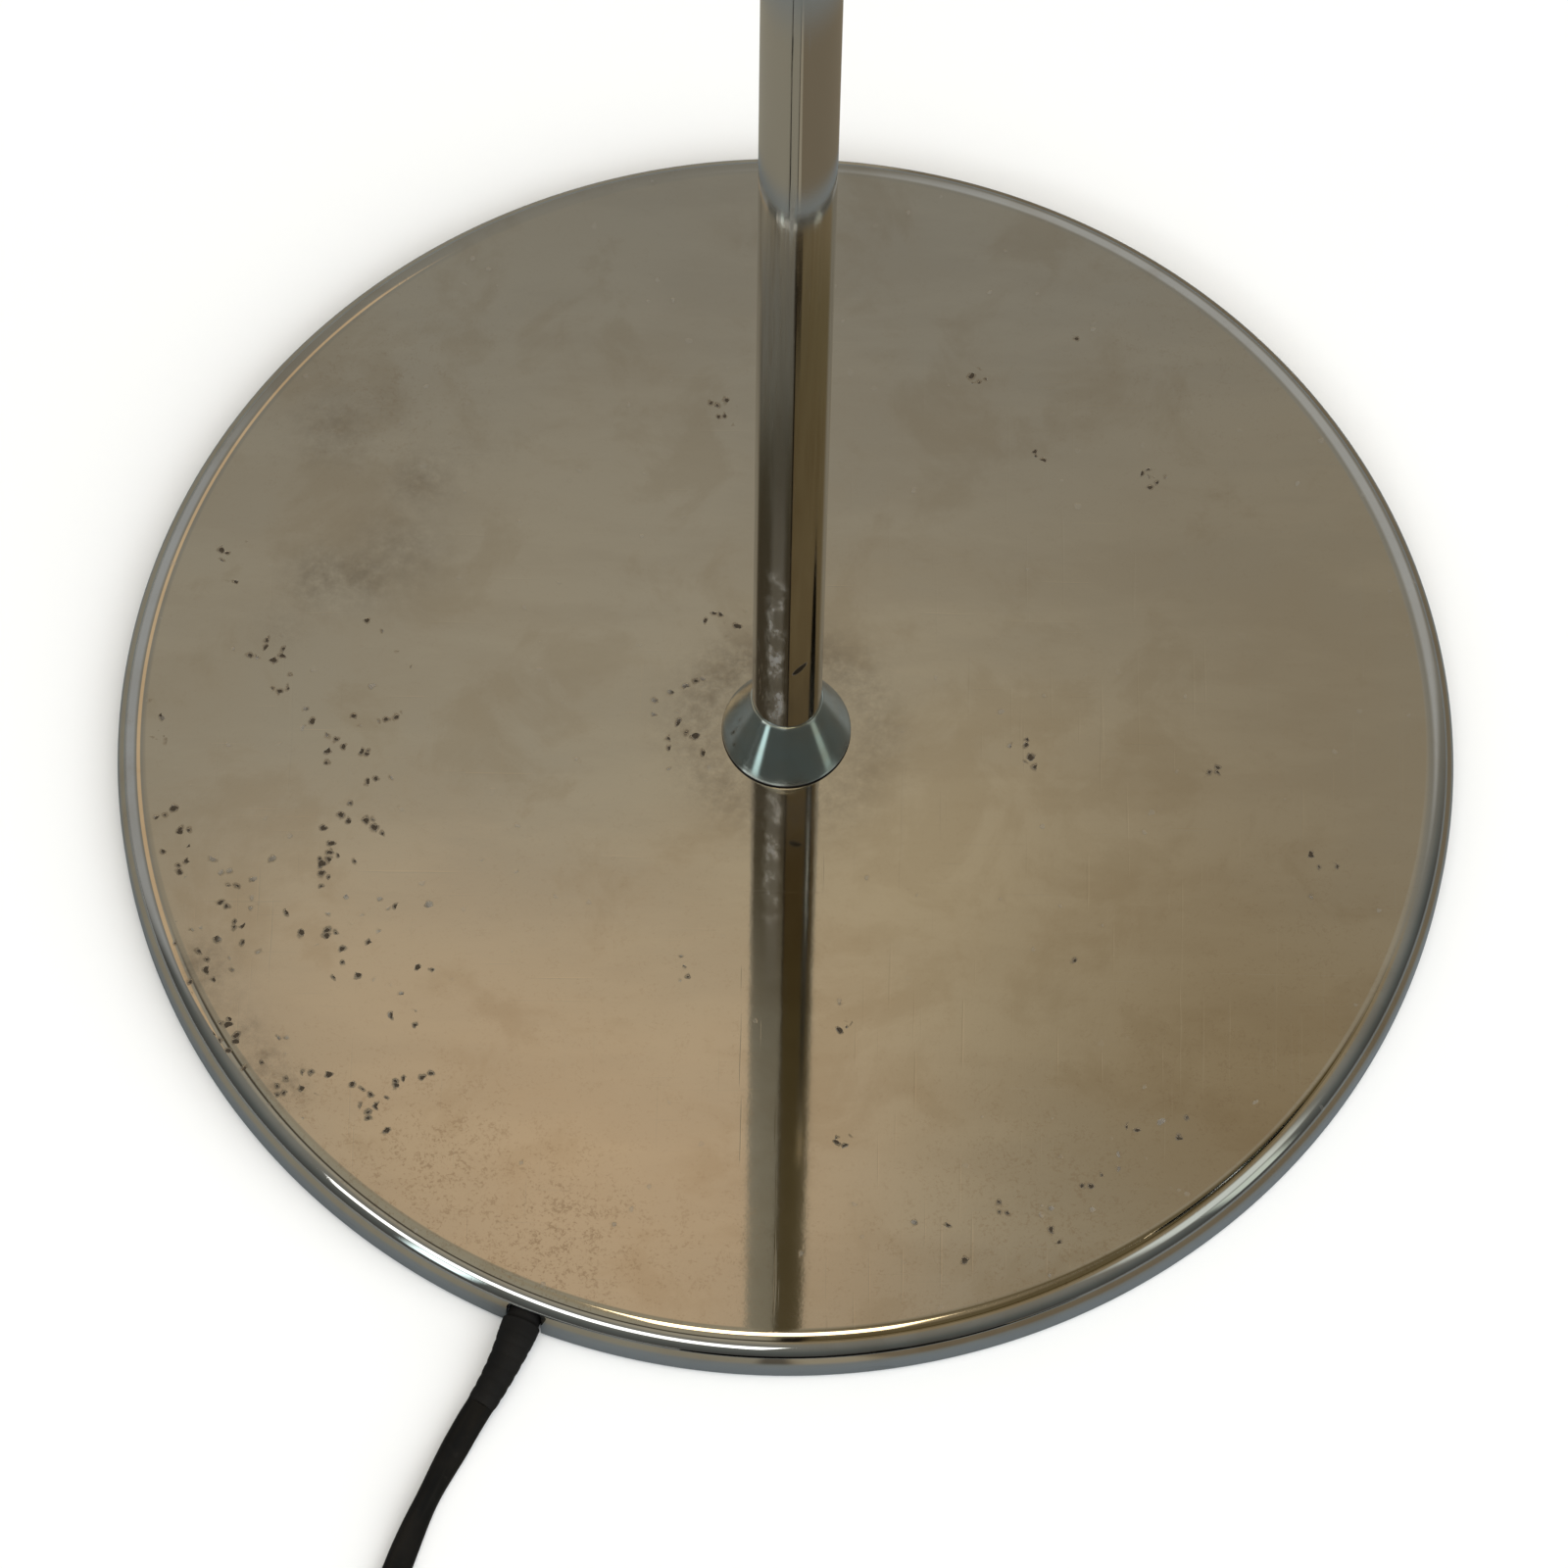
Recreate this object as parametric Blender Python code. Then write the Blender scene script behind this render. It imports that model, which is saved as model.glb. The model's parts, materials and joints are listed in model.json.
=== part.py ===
"""Arc floor lamp with a chromed disc base.

Units are metres, +Z is up, and the origin is the middle of the base on the floor.
The arc leans towards +X, and the mains cord leaves the base at the front, on the -Y side.
"""

from math import acos, cos, pi, radians, sin, sqrt

import bmesh
import bpy
from mathutils import Euler, Vector
from mathutils.geometry import interpolate_bezier

MM = 0.001
GAP = 0.3 * MM  # clearance between pieces that touch or slide

# ---- driving dimensions -------------------------------------------------------------
BASE_RADIUS = 155 * MM
BASE_HEIGHT = 12.4 * MM
BASE_EDGE_RADIUS = 6.8 * MM
COVER_WALL = 1.2 * MM
COVER_LIFT = 0.6 * MM  # the cover's edge clears the floor
PAD_THICKNESS = 1.6 * MM

STEM_RADIUS = 8 * MM
STEM_BORE = 6.7 * MM
STEM_TOP = 720 * MM
COLLAR_RADIUS = 15 * MM
COLLAR_HEIGHT = 17.5 * MM

SLIDE_RADIUS = 6.35 * MM  # the sliding tube and the arc share one tube size
SLIDE_BORE = 5.35 * MM
SLIDE_BOTTOM = 430 * MM
SWIVEL_HEIGHT = 900 * MM  # the face on which the arc turns

NIPPLE_RADIUS = 5 * MM  # M10 x 1 hollow threaded tube
NIPPLE_BORE = 3.7 * MM
NIPPLE_HOLE = NIPPLE_RADIUS + GAP

ARC_START = 1160 * MM  # where the straight part of the arc ends
ARC_RADIUS = 260 * MM
ARC_SWEEP = radians(150)
PIVOT_REACH = 16 * MM  # from the arc's end to the tilt pivot

SHADE_RADIUS = 125 * MM
SHADE_DEPTH = 138 * MM
SHADE_WALL = 1 * MM

CORD_WIDTH = 6.3 * MM
CORD_THICKNESS = 3.8 * MM
LEAD_RADIUS = 1.9 * MM  # the two insulated cores, twisted together, that run on inside the tubes

COIL_CENTRE = Vector((-4 * MM, -279 * MM, 0))
COIL_RADIUS = 36 * MM  # at the middle of its turns
COIL_HALF_WIDTH = 7 * MM
COIL_HEIGHT = 13.4 * MM
COIL_OUTER_TURN = 40.3 * MM

SWITCH_LENGTH = 84 * MM
SWITCH_WIDTH = 34 * MM
SWITCH_SPLIT = 10 * MM
SWITCH_HEIGHT = 21 * MM
SWITCH_WALL = 2 * MM
SWITCH_MIDDLE = Vector((76 * MM, -357 * MM, 0))
BUTTON_RADIUS = 10 * MM
BUTTON_TOP = 26.5 * MM

PLUG_START = Vector((70 * MM, -287.5 * MM, 7.2 * MM))  # the cord's end of the plug, which points along +X

# ---- worked out from the driving dimensions -----------------------------------------
CORD_SIDE = radians(-21.3)  # the cord's exit, turned from -Y towards -X
CORD_OUT = Vector((sin(CORD_SIDE), -cos(CORD_SIDE), 0))
CORD_HEIGHT = 5.3 * MM  # of the cord's middle where it passes through the rim
ARC_MIDDLE = Vector((ARC_RADIUS, 0, ARC_START))
ARC_END = ARC_MIDDLE + ARC_RADIUS * Vector((-cos(ARC_SWEEP), 0, sin(ARC_SWEEP)))
ARC_DIRECTION = Vector((sin(ARC_SWEEP), 0, cos(ARC_SWEEP)))
TILT_PIVOT = ARC_END + PIVOT_REACH * ARC_DIRECTION
CLAMP_PIVOT = Vector((0, 0, 731 * MM))

# Finish: base colour, roughness, metallic.
FINISHES = {
    "chrome": ((0.62, 0.61, 0.58), 0.12, 1.0),
    "cast_iron": ((0.10, 0.10, 0.10), 0.75, 0.6),
    "zinc_steel": ((0.55, 0.55, 0.53), 0.35, 1.0),
    "brass": ((0.72, 0.55, 0.25), 0.30, 1.0),
    "felt": ((0.05, 0.08, 0.06), 0.95, 0.0),
    "black_plastic": ((0.02, 0.02, 0.02), 0.45, 0.0),
    "nylon": ((0.75, 0.73, 0.66), 0.50, 0.0),
    "cord_black": ((0.015, 0.015, 0.015), 0.50, 0.0),
    "lead_brown": ((0.20, 0.08, 0.03), 0.50, 0.0),
    "ceramic": ((0.85, 0.84, 0.80), 0.30, 0.0),
    "opal_glass": ((0.92, 0.91, 0.88), 0.15, 0.0),
}

SEGMENTS_LARGE = 72
SEGMENTS_MEDIUM = 40
SEGMENTS_SMALL = 24
SEGMENTS_TINY = 12

ALONG_Z = Euler((0, 0, 0))
ALONG_X = Euler((0, radians(90), 0))
ALONG_MINUS_Y = Euler((radians(90), 0, 0))


# ---- helpers ------------------------------------------------------------------------
def clear_scene():
    for obj in list(bpy.data.objects):
        bpy.data.objects.remove(obj, do_unlink=True)


def make_material(name, finish):
    colour, roughness, metallic = FINISHES[finish]
    material = bpy.data.materials.new(f"{name}_{finish}")
    material.use_nodes = True
    shader = material.node_tree.nodes["Principled BSDF"]
    shader.inputs["Base Color"].default_value = (*colour, 1.0)
    shader.inputs["Roughness"].default_value = roughness
    shader.inputs["Metallic"].default_value = metallic
    return material


def link_object(obj, location, rotation, parent):
    bpy.context.collection.objects.link(obj)
    obj.parent = parent
    obj.location = Vector(location) - (pivot_place(parent) if parent else Vector())
    obj.rotation_euler = rotation
    return obj


def pivot_place(pivot):
    place = Vector(pivot.location)
    return place + pivot_place(pivot.parent) if pivot.parent else place


def make_pivot(name, location, parent=None):
    """An empty on a joint's axis, which carries the pieces that move with it."""
    pivot = bpy.data.objects.new(name, None)
    return link_object(pivot, location, ALONG_Z, parent)


def add_piece(name, bm, finish, location=(0, 0, 0), rotation=ALONG_Z, parent=None):
    """Turn a finished bmesh into a smooth-shaded object with its own material."""
    bmesh.ops.recalc_face_normals(bm, faces=bm.faces)
    mesh = bpy.data.meshes.new(name)
    bm.to_mesh(mesh)
    bm.free()
    mesh.shade_smooth()
    mesh.set_sharp_from_angle(angle=radians(35))
    mesh.materials.append(make_material(name, finish))
    return link_object(bpy.data.objects.new(name, mesh), location, rotation, parent)


def spun(profile, segments):
    """A closed profile of (radius, height) turned about Z. A profile from axis to axis is a solid."""
    bm = bmesh.new()
    points = [bm.verts.new((radius, 0, height)) for radius, height in profile]
    on_axis = profile[0][0] == 0 and profile[-1][0] == 0
    pairs = zip(points, points[1:] if on_axis else points[1:] + points[:1])
    edges = [bm.edges.new(pair) for pair in pairs]
    bmesh.ops.spin(
        bm,
        geom=points + edges,
        cent=(0, 0, 0),
        axis=(0, 0, 1),
        angle=2 * pi,
        steps=segments,
        use_merge=True,
    )
    bmesh.ops.remove_doubles(bm, verts=bm.verts, dist=0.001 * MM)
    return bm


def tube_profile(outer, inner, bottom, top):
    return [(outer, bottom), (outer, top), (inner, top), (inner, bottom)]


def rod_profile(radius, bottom, top, edge=0.0):
    """A solid round bar with a small chamfer on both ends."""
    return [
        (0, bottom),
        (radius - edge, bottom),
        *([(radius, bottom + edge), (radius, top - edge)] if edge else [(radius, top)]),
        *([(radius - edge, top)] if edge else []),
        (0, top),
    ]


def quarter(radius, height, bend, start, steps):
    """Points of a quarter circle about (radius, height), turning clockwise from the start angle."""
    return [
        (radius + bend * cos(start - i * pi / 2 / steps), height + bend * sin(start - i * pi / 2 / steps))
        for i in range(steps + 1)
    ]


def lofted(rings, closed=False):
    """Closed rings of equal length, joined one to the next. Open lofts get a cap on each end."""
    bm = bmesh.new()
    loops = [[bm.verts.new(point) for point in ring] for ring in rings]
    count = len(loops[0])
    for lower, upper in zip(loops, loops[1:] + (loops[:1] if closed else [])):
        for i in range(count):
            j = (i + 1) % count
            bm.faces.new((lower[i], lower[j], upper[j], upper[i]))
    if not closed:
        bm.faces.new(loops[0])
        bm.faces.new(loops[-1])
    return bm


def prism(outline, bottom, top):
    """A flat outline in XY, extruded from bottom to top."""
    return lofted([[(x, y, height) for x, y in outline] for height in (bottom, top)])


def rounded_outline(length, width, corner, steps=5):
    """A rectangle along X with rounded corners, as points in order."""
    outline = []
    for quarter_turn in range(4):
        side_x = 1 if quarter_turn in (0, 3) else -1
        side_y = 1 if quarter_turn < 2 else -1
        for i in range(steps + 1):
            angle = (quarter_turn + i / steps) * pi / 2
            outline.append((
                side_x * (length / 2 - corner) + corner * cos(angle),
                side_y * (width / 2 - corner) + corner * sin(angle),
            ))
    return outline


def ellipse_ring(middle, across, up, half_width, half_height, count):
    angles = [2 * pi * i / count for i in range(count)]
    return [middle + across * half_width * cos(a) + up * half_height * sin(a) for a in angles]


def cut(target, bm, location=(0, 0, 0), rotation=ALONG_Z, parent=None, operation="DIFFERENCE"):
    """Cut a bmesh shape out of an object, or join it on, with a live Boolean."""
    bmesh.ops.recalc_face_normals(bm, faces=bm.faces)
    index = len(target.modifiers)
    mesh = bpy.data.meshes.new(f"{target.name}_cutter_{index}")
    bm.to_mesh(mesh)
    bm.free()
    cutter = bpy.data.objects.new(mesh.name, mesh)
    link_object(cutter, location, rotation, parent)
    cutter.hide_render = True
    cutter.display_type = "WIRE"
    boolean = target.modifiers.new(f"boolean_{index}", "BOOLEAN")
    boolean.object = cutter
    boolean.operation = operation
    boolean.solver = "EXACT"


def smooth_route(points, spacing):
    """Evenly spaced points on a smooth curve through the given ones."""
    knots = [Vector(point) for point in points]
    fine = []
    for i, (start, end) in enumerate(zip(knots, knots[1:])):
        before = knots[i - 1] if i else start
        after = knots[i + 2] if i + 2 < len(knots) else end
        handle_out = start + (end - before) / 6
        handle_in = end - (after - start) / 6
        fine += interpolate_bezier(start, handle_out, handle_in, end, 24)[: None if end is knots[-1] else -1]
    total = sum((b - a).length for a, b in zip(fine, fine[1:]))
    steps = max(2, round(total / spacing))
    route, walked, target = [fine[0]], 0.0, total / steps
    for a, b in zip(fine, fine[1:]):
        step = (b - a).length
        while walked + step >= target - 1e-9 and len(route) < steps:
            route.append(a.lerp(b, (target - walked) / step))
            target += total / steps
        walked += step
    return route + [fine[-1]]


def add_cord(name, route, radius, finish, resolution=2, parent=None):
    """A round cord along a route, as a curve with a bevel and filled ends."""
    curve = bpy.data.curves.new(name, "CURVE")
    curve.dimensions = "3D"
    curve.bevel_depth = radius
    curve.bevel_resolution = resolution
    curve.use_fill_caps = True
    spline = curve.splines.new("POLY")
    spline.points.add(len(route) - 1)
    place = pivot_place(parent) if parent else Vector()
    for point, position in zip(spline.points, route):
        point.co = (*(Vector(position) - place), 1)
    curve.materials.append(make_material(name, finish))
    return link_object(bpy.data.objects.new(name, curve), place, ALONG_Z, parent)


# ---- base ---------------------------------------------------------------------------
def make_base():
    edge = BASE_RADIUS - BASE_EDGE_RADIUS
    edge_middle = BASE_HEIGHT - BASE_EDGE_RADIUS
    under = BASE_HEIGHT - COVER_WALL
    inner_edge = BASE_EDGE_RADIUS - COVER_WALL
    cover = add_piece("base_cover", spun([
        (NIPPLE_HOLE, BASE_HEIGHT),
        *quarter(edge, edge_middle, BASE_EDGE_RADIUS, pi / 2, 5),
        (BASE_RADIUS, COVER_LIFT),
        (BASE_RADIUS - COVER_WALL, COVER_LIFT),
        *reversed(quarter(edge, edge_middle, inner_edge, pi / 2, 4)),
        (NIPPLE_HOLE, under),
    ], SEGMENTS_LARGE), "chrome")
    turn = Euler((0, 0, CORD_SIDE))
    notch_width = 8.4 * MM
    notch_top = 9.2 * MM
    notch = prism(rounded_outline(notch_width, 14 * MM, 1 * MM, 2), -5 * MM, notch_top)
    cut(cover, notch, CORD_OUT * BASE_RADIUS, turn)

    # The iron weight fills the cover. It is tapped for the nipple and has the cord's channel below.
    weight_bottom = PAD_THICKNESS + GAP
    weight_top = under - GAP
    recess_radius = 12 * MM
    recess_top = 6 * MM
    weight = add_piece("base_weight", spun([
        (NIPPLE_HOLE, weight_top),
        *quarter(edge, edge_middle, inner_edge - GAP, pi / 2, 3),
        (edge + inner_edge - GAP, weight_bottom),
        (recess_radius, weight_bottom),
        (recess_radius, recess_top),
        (NIPPLE_HOLE, recess_top),
    ], SEGMENTS_MEDIUM), "cast_iron")
    channel_width = 8 * MM
    channel_top = CORD_HEIGHT + CORD_THICKNESS / 2 + GAP
    channel = prism(rounded_outline(channel_width, 150 * MM, 0.5 * MM, 1), -5 * MM, channel_top)
    cut(weight, channel, CORD_OUT * 83 * MM, turn)
    gland_room = prism(rounded_outline(13 * MM, 22 * MM, 1 * MM, 1), -5 * MM, 9.7 * MM)
    cut(weight, gland_room, CORD_OUT * 154 * MM, turn)
    clamp_room = prism(rounded_outline(25 * MM, 10 * MM, 1 * MM, 1), -5 * MM, 3.2 * MM)
    cut(weight, clamp_room, CORD_OUT * 60 * MM, turn)
    screw_side = 9 * MM
    across = Vector((cos(CORD_SIDE), sin(CORD_SIDE), 0))
    for side in (-1, 1):
        hole = spun(rod_profile(1.8 * MM, 0, 9 * MM), SEGMENTS_TINY)
        cut(weight, hole, CORD_OUT * 60 * MM + across * side * screw_side)

    pad = [(0, 0), (150 * MM, 0), (150 * MM, PAD_THICKNESS), (0, PAD_THICKNESS)]
    add_piece("base_pad", spun(pad, SEGMENTS_MEDIUM), "felt")

    # Saddle clamp that holds the cord in its channel, with its two screws.
    clamp_place = CORD_OUT * 60 * MM
    clamp_top = 2.9 * MM
    clamp = prism(rounded_outline(24 * MM, 8 * MM, 1.5 * MM, 3), weight_bottom + 0.1 * MM, clamp_top)
    clamp = add_piece("cord_clamp", clamp, "zinc_steel", clamp_place, turn)
    for number, side in enumerate((-1, 1), 1):
        screw_place = clamp_place + across * side * screw_side
        cut(clamp, spun(rod_profile(1.8 * MM, 0, 5 * MM), SEGMENTS_TINY), screw_place)
        screw = spun(rod_profile(1.5 * MM, weight_bottom + 0.1 * MM, 8.4 * MM, 0.3 * MM), SEGMENTS_TINY)
        add_piece(f"cord_clamp_screw_{number}", screw, "zinc_steel", screw_place)

    # The nipple is screwed into the weight, and its nut holds the cover down.
    nipple = tube_profile(NIPPLE_RADIUS, NIPPLE_BORE, 6.4 * MM, 34 * MM)
    add_piece("base_nipple", spun(nipple, SEGMENTS_SMALL), "brass")
    washer_bottom = BASE_HEIGHT + GAP
    washer_top = washer_bottom + 1.2 * MM
    washer = tube_profile(10 * MM, NIPPLE_HOLE, washer_bottom, washer_top)
    add_piece("base_washer", spun(washer, SEGMENTS_SMALL), "zinc_steel")
    make_hex_nut("base_lock_nut", 14 * MM, washer_top + GAP, 4.5 * MM)


def make_hex_nut(name, across_flats, bottom, height, location=(0, 0, 0), parent=None):
    corner = across_flats / 2 / cos(pi / 6)
    outline = [(corner * cos(pi / 3 * i), corner * sin(pi / 3 * i)) for i in range(6)]
    nut = add_piece(name, prism(outline, bottom, bottom + height), "zinc_steel", location, parent=parent)
    bore = spun(rod_profile(NIPPLE_HOLE, bottom - MM, bottom + height + MM), SEGMENTS_SMALL)
    cut(nut, bore, location, parent=parent)


# ---- stem ---------------------------------------------------------------------------
def make_stem():
    stem_bottom = 20.6 * MM
    stem = tube_profile(STEM_RADIUS, STEM_BORE, stem_bottom, STEM_TOP)
    add_piece("stem_tube", spun(stem, SEGMENTS_SMALL), "chrome")
    insert = tube_profile(STEM_BORE - GAP, NIPPLE_HOLE, stem_bottom + 0.4 * MM, 36 * MM)
    add_piece("stem_insert", spun(insert, SEGMENTS_SMALL), "brass")

    # Straight cone from the disc up to the stem, hollow round the nut.
    foot = BASE_HEIGHT + GAP
    top = BASE_HEIGHT + COLLAR_HEIGHT
    lip = STEM_RADIUS + 0.9 * MM
    bore = STEM_RADIUS + GAP
    wall = 1.8 * MM
    hollow_top = 24 * MM
    add_piece("stem_collar", spun([
        (COLLAR_RADIUS, foot),
        (lip, top - 0.3 * MM),
        (lip - 0.3 * MM, top),
        (bore, top),
        (bore, hollow_top),
        (COLLAR_RADIUS - wall, foot),
    ], SEGMENTS_MEDIUM), "chrome")

    # Clamp sleeve on the stem's top, with a boss for the thumb screw.
    sleeve_radius = 11 * MM
    sleeve_top = 742 * MM
    sleeve_bottom = 702 * MM
    bevel = 1 * MM
    sleeve = add_piece("stem_clamp", spun([
        (sleeve_radius - bevel, sleeve_bottom),
        (sleeve_radius, sleeve_bottom + bevel),
        (sleeve_radius, sleeve_top - bevel),
        (sleeve_radius - bevel, sleeve_top),
        (bore, sleeve_top),
        (bore, sleeve_bottom),
    ], SEGMENTS_SMALL), "chrome")
    screw_hole = 3.3 * MM
    boss = spun(rod_profile(6.5 * MM, 9.5 * MM, 15 * MM, 0.5 * MM), SEGMENTS_SMALL)
    cut(sleeve, boss, CLAMP_PIVOT, ALONG_MINUS_Y, operation="UNION")
    hole = spun(rod_profile(screw_hole, 4 * MM, 20 * MM), SEGMENTS_TINY)
    cut(sleeve, hole, CLAMP_PIVOT, ALONG_MINUS_Y)

    # Nylon bush between the sleeve and the sliding tube, with a flange on top.
    bush_bore = SLIDE_RADIUS + GAP
    bush_radius = bore - GAP
    bush = add_piece("clamp_bush", spun([
        (bush_radius, STEM_TOP + 0.6 * MM),
        (bush_radius, sleeve_top + GAP),
        (10.2 * MM, sleeve_top + GAP),
        (10.2 * MM, sleeve_top + 1.6 * MM),
        (9.4 * MM, sleeve_top + 2.4 * MM),
        (bush_bore, sleeve_top + 2.4 * MM),
        (bush_bore, STEM_TOP + 0.6 * MM),
    ], SEGMENTS_SMALL), "black_plastic")
    shoe_hole = spun(rod_profile(2.7 * MM, 3 * MM, 12 * MM), SEGMENTS_TINY)
    cut(bush, shoe_hole, CLAMP_PIVOT, ALONG_MINUS_Y)
    shoe = spun(rod_profile(2.3 * MM, SLIDE_RADIUS + 0.4 * MM, SLIDE_RADIUS + 2 * MM), SEGMENTS_TINY)
    add_piece("clamp_shoe", shoe, "brass", CLAMP_PIVOT, ALONG_MINUS_Y)


def knurled_profile(radius, count, depth):
    """An outline with rounded ridges, for the grip of a knob."""
    outline = []
    for i in range(4 * count):
        ridge = depth * (0.5 + 0.5 * cos(i * pi / 2))
        angle = 2 * pi * i / (4 * count)
        outline.append(((radius - ridge) * cos(angle), (radius - ridge) * sin(angle)))
    return outline


def make_grip(name, radius, bottom, top, finish, place, bore, parent):
    """A ridged round grip with chamfered ends, turned to point along -Y."""
    heights = [(bottom, 0.9), (bottom + 1.2 * MM, 1), (top - 1.2 * MM, 1), (top, 0.86)]
    outline = knurled_profile(radius, 12, 0.9 * MM)
    rings = [[(x * size, y * size, height) for x, y in outline] for height, size in heights]
    grip = add_piece(name, lofted(rings), finish, place, ALONG_MINUS_Y, parent)
    socket = spun(rod_profile(bore, bottom - 2 * MM, top - 3 * MM), SEGMENTS_TINY)
    cut(grip, socket, place, ALONG_MINUS_Y, parent)


def make_clamp_knob():
    pivot = make_pivot("clamp_knob_axis", CLAMP_PIVOT)
    screw = spun(rod_profile(2.9 * MM, 8.8 * MM, 24 * MM, 0.4 * MM), SEGMENTS_TINY)
    add_piece("clamp_screw", screw, "zinc_steel", CLAMP_PIVOT, ALONG_MINUS_Y, pivot)
    make_grip("clamp_knob", 11 * MM, 15.5 * MM, 28 * MM, "black_plastic", CLAMP_PIVOT, 3.2 * MM, pivot)


# ---- sliding tube and swivel --------------------------------------------------------
def make_slide():
    pivot = make_pivot("arc_height_axis", (0, 0, SLIDE_BOTTOM))
    coupling_radius = 10 * MM
    tube_room = SLIDE_RADIUS + GAP
    socket_bottom = SWIVEL_HEIGHT - 20 * MM
    shoulder = SWIVEL_HEIGHT - 6.5 * MM
    slide_top = shoulder - GAP
    tube = tube_profile(SLIDE_RADIUS, SLIDE_BORE, SLIDE_BOTTOM, slide_top)
    pieces = [("slide_tube", spun(tube, SEGMENTS_SMALL), "chrome")]
    foot_radius = STEM_BORE - GAP
    spigot = SLIDE_BORE - GAP
    foot_hole = 3.6 * MM
    pieces.append(("slide_foot", spun([
        (foot_hole, SLIDE_BOTTOM - 12 * MM),
        (foot_radius - MM, SLIDE_BOTTOM - 12 * MM),
        (foot_radius, SLIDE_BOTTOM - 11 * MM),
        (foot_radius, SLIDE_BOTTOM - GAP),
        (spigot, SLIDE_BOTTOM - GAP),
        (spigot, SLIDE_BOTTOM + 10 * MM),
        (foot_hole, SLIDE_BOTTOM + 10 * MM),
    ], SEGMENTS_SMALL), "nylon"))
    pieces.append(("swivel_socket", spun([
        (coupling_radius - 2 * MM, socket_bottom),
        (coupling_radius, socket_bottom + 3 * MM),
        (coupling_radius, SWIVEL_HEIGHT - 0.5 * MM),
        (coupling_radius - 0.5 * MM, SWIVEL_HEIGHT),
        (NIPPLE_HOLE, SWIVEL_HEIGHT),
        (NIPPLE_HOLE, shoulder),
        (tube_room, shoulder),
        (tube_room, socket_bottom),
    ], SEGMENTS_SMALL), "chrome"))
    nipple = tube_profile(NIPPLE_RADIUS, NIPPLE_BORE, SWIVEL_HEIGHT - 16 * MM, SWIVEL_HEIGHT + 14.5 * MM)
    pieces.append(("swivel_nipple", spun(nipple, SEGMENTS_SMALL), "brass"))
    washer_bottom = SWIVEL_HEIGHT + GAP
    washer = tube_profile(9.2 * MM, NIPPLE_HOLE, washer_bottom, washer_bottom + 1.2 * MM)
    pieces.append(("swivel_washer", spun(washer, SEGMENTS_SMALL), "nylon"))
    for name, bm, finish in pieces:
        drop = Vector((0, 0, -SLIDE_BOTTOM))
        bmesh.ops.translate(bm, verts=bm.verts, vec=drop)
        add_piece(name, bm, finish, (0, 0, SLIDE_BOTTOM), parent=pivot)
    run = [(0, 0, SLIDE_BOTTOM + 14 * MM), (0, 0, SWIVEL_HEIGHT + 10 * MM)]
    add_cord("slide_lead", run, LEAD_RADIUS, "lead_brown", parent=pivot)
    return pivot


# ---- arc ----------------------------------------------------------------------------
def arc_station(angle):
    """The arc's middle line and outward direction at an angle of its bend, from the straight part."""
    outward = Vector((-cos(angle), 0, sin(angle)))
    return ARC_MIDDLE + ARC_RADIUS * outward, outward


def make_arc(slide_pivot):
    pivot = make_pivot("arc_swivel_axis", (0, 0, SWIVEL_HEIGHT), slide_pivot)
    collar_bottom = SWIVEL_HEIGHT + 1.8 * MM
    collar_top = SWIVEL_HEIGHT + 24 * MM
    shoulder = collar_bottom + 6 * MM
    ring_top = shoulder + 3.3 * MM
    tube_room = SLIDE_RADIUS + GAP
    radius = 10 * MM

    def turned_piece(name, profile, finish):
        lowered = [(r, height - SWIVEL_HEIGHT) for r, height in profile]
        add_piece(name, spun(lowered, SEGMENTS_SMALL), finish, (0, 0, SWIVEL_HEIGHT), parent=pivot)

    turned_piece("arc_collar", [
        (radius - 0.5 * MM, collar_bottom),
        (radius, collar_bottom + 0.5 * MM),
        (radius, collar_top - 6 * MM),
        (radius - 2.4 * MM, collar_top),
        (tube_room, collar_top),
        (tube_room, shoulder),
        (NIPPLE_HOLE, shoulder),
        (NIPPLE_HOLE, collar_bottom),
    ], "chrome")
    ring = tube_profile(SLIDE_RADIUS, NIPPLE_HOLE, shoulder + GAP, ring_top)
    turned_piece("arc_retaining_ring", ring, "zinc_steel")

    # The tube is straight, then bent to one radius. Outer wall up, inner wall back.
    sides = 16
    stations = [(Vector((0, 0, ring_top + GAP)), Vector((-1, 0, 0)))]
    bend_steps = 25
    stations += [arc_station(ARC_SWEEP * i / bend_steps) for i in range(bend_steps + 1)]
    across = Vector((0, 1, 0))
    lift = Vector((0, 0, SWIVEL_HEIGHT))
    walls = [
        [ellipse_ring(middle - lift, across, outward, bore, bore, sides) for middle, outward in line]
        for bore, line in ((SLIDE_RADIUS, stations), (SLIDE_BORE, stations[::-1]))
    ]
    add_piece("arc_tube", lofted(walls[0] + walls[1], closed=True), "chrome", lift, parent=pivot)

    lead_steps = 24
    run = [Vector((0, 0, SWIVEL_HEIGHT + 18 * MM))]
    run += [arc_station(ARC_SWEEP * i / lead_steps)[0] for i in range(lead_steps + 1)]
    add_cord("arc_lead", run, LEAD_RADIUS, "lead_brown", parent=pivot)
    make_fork(pivot)
    return pivot


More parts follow.
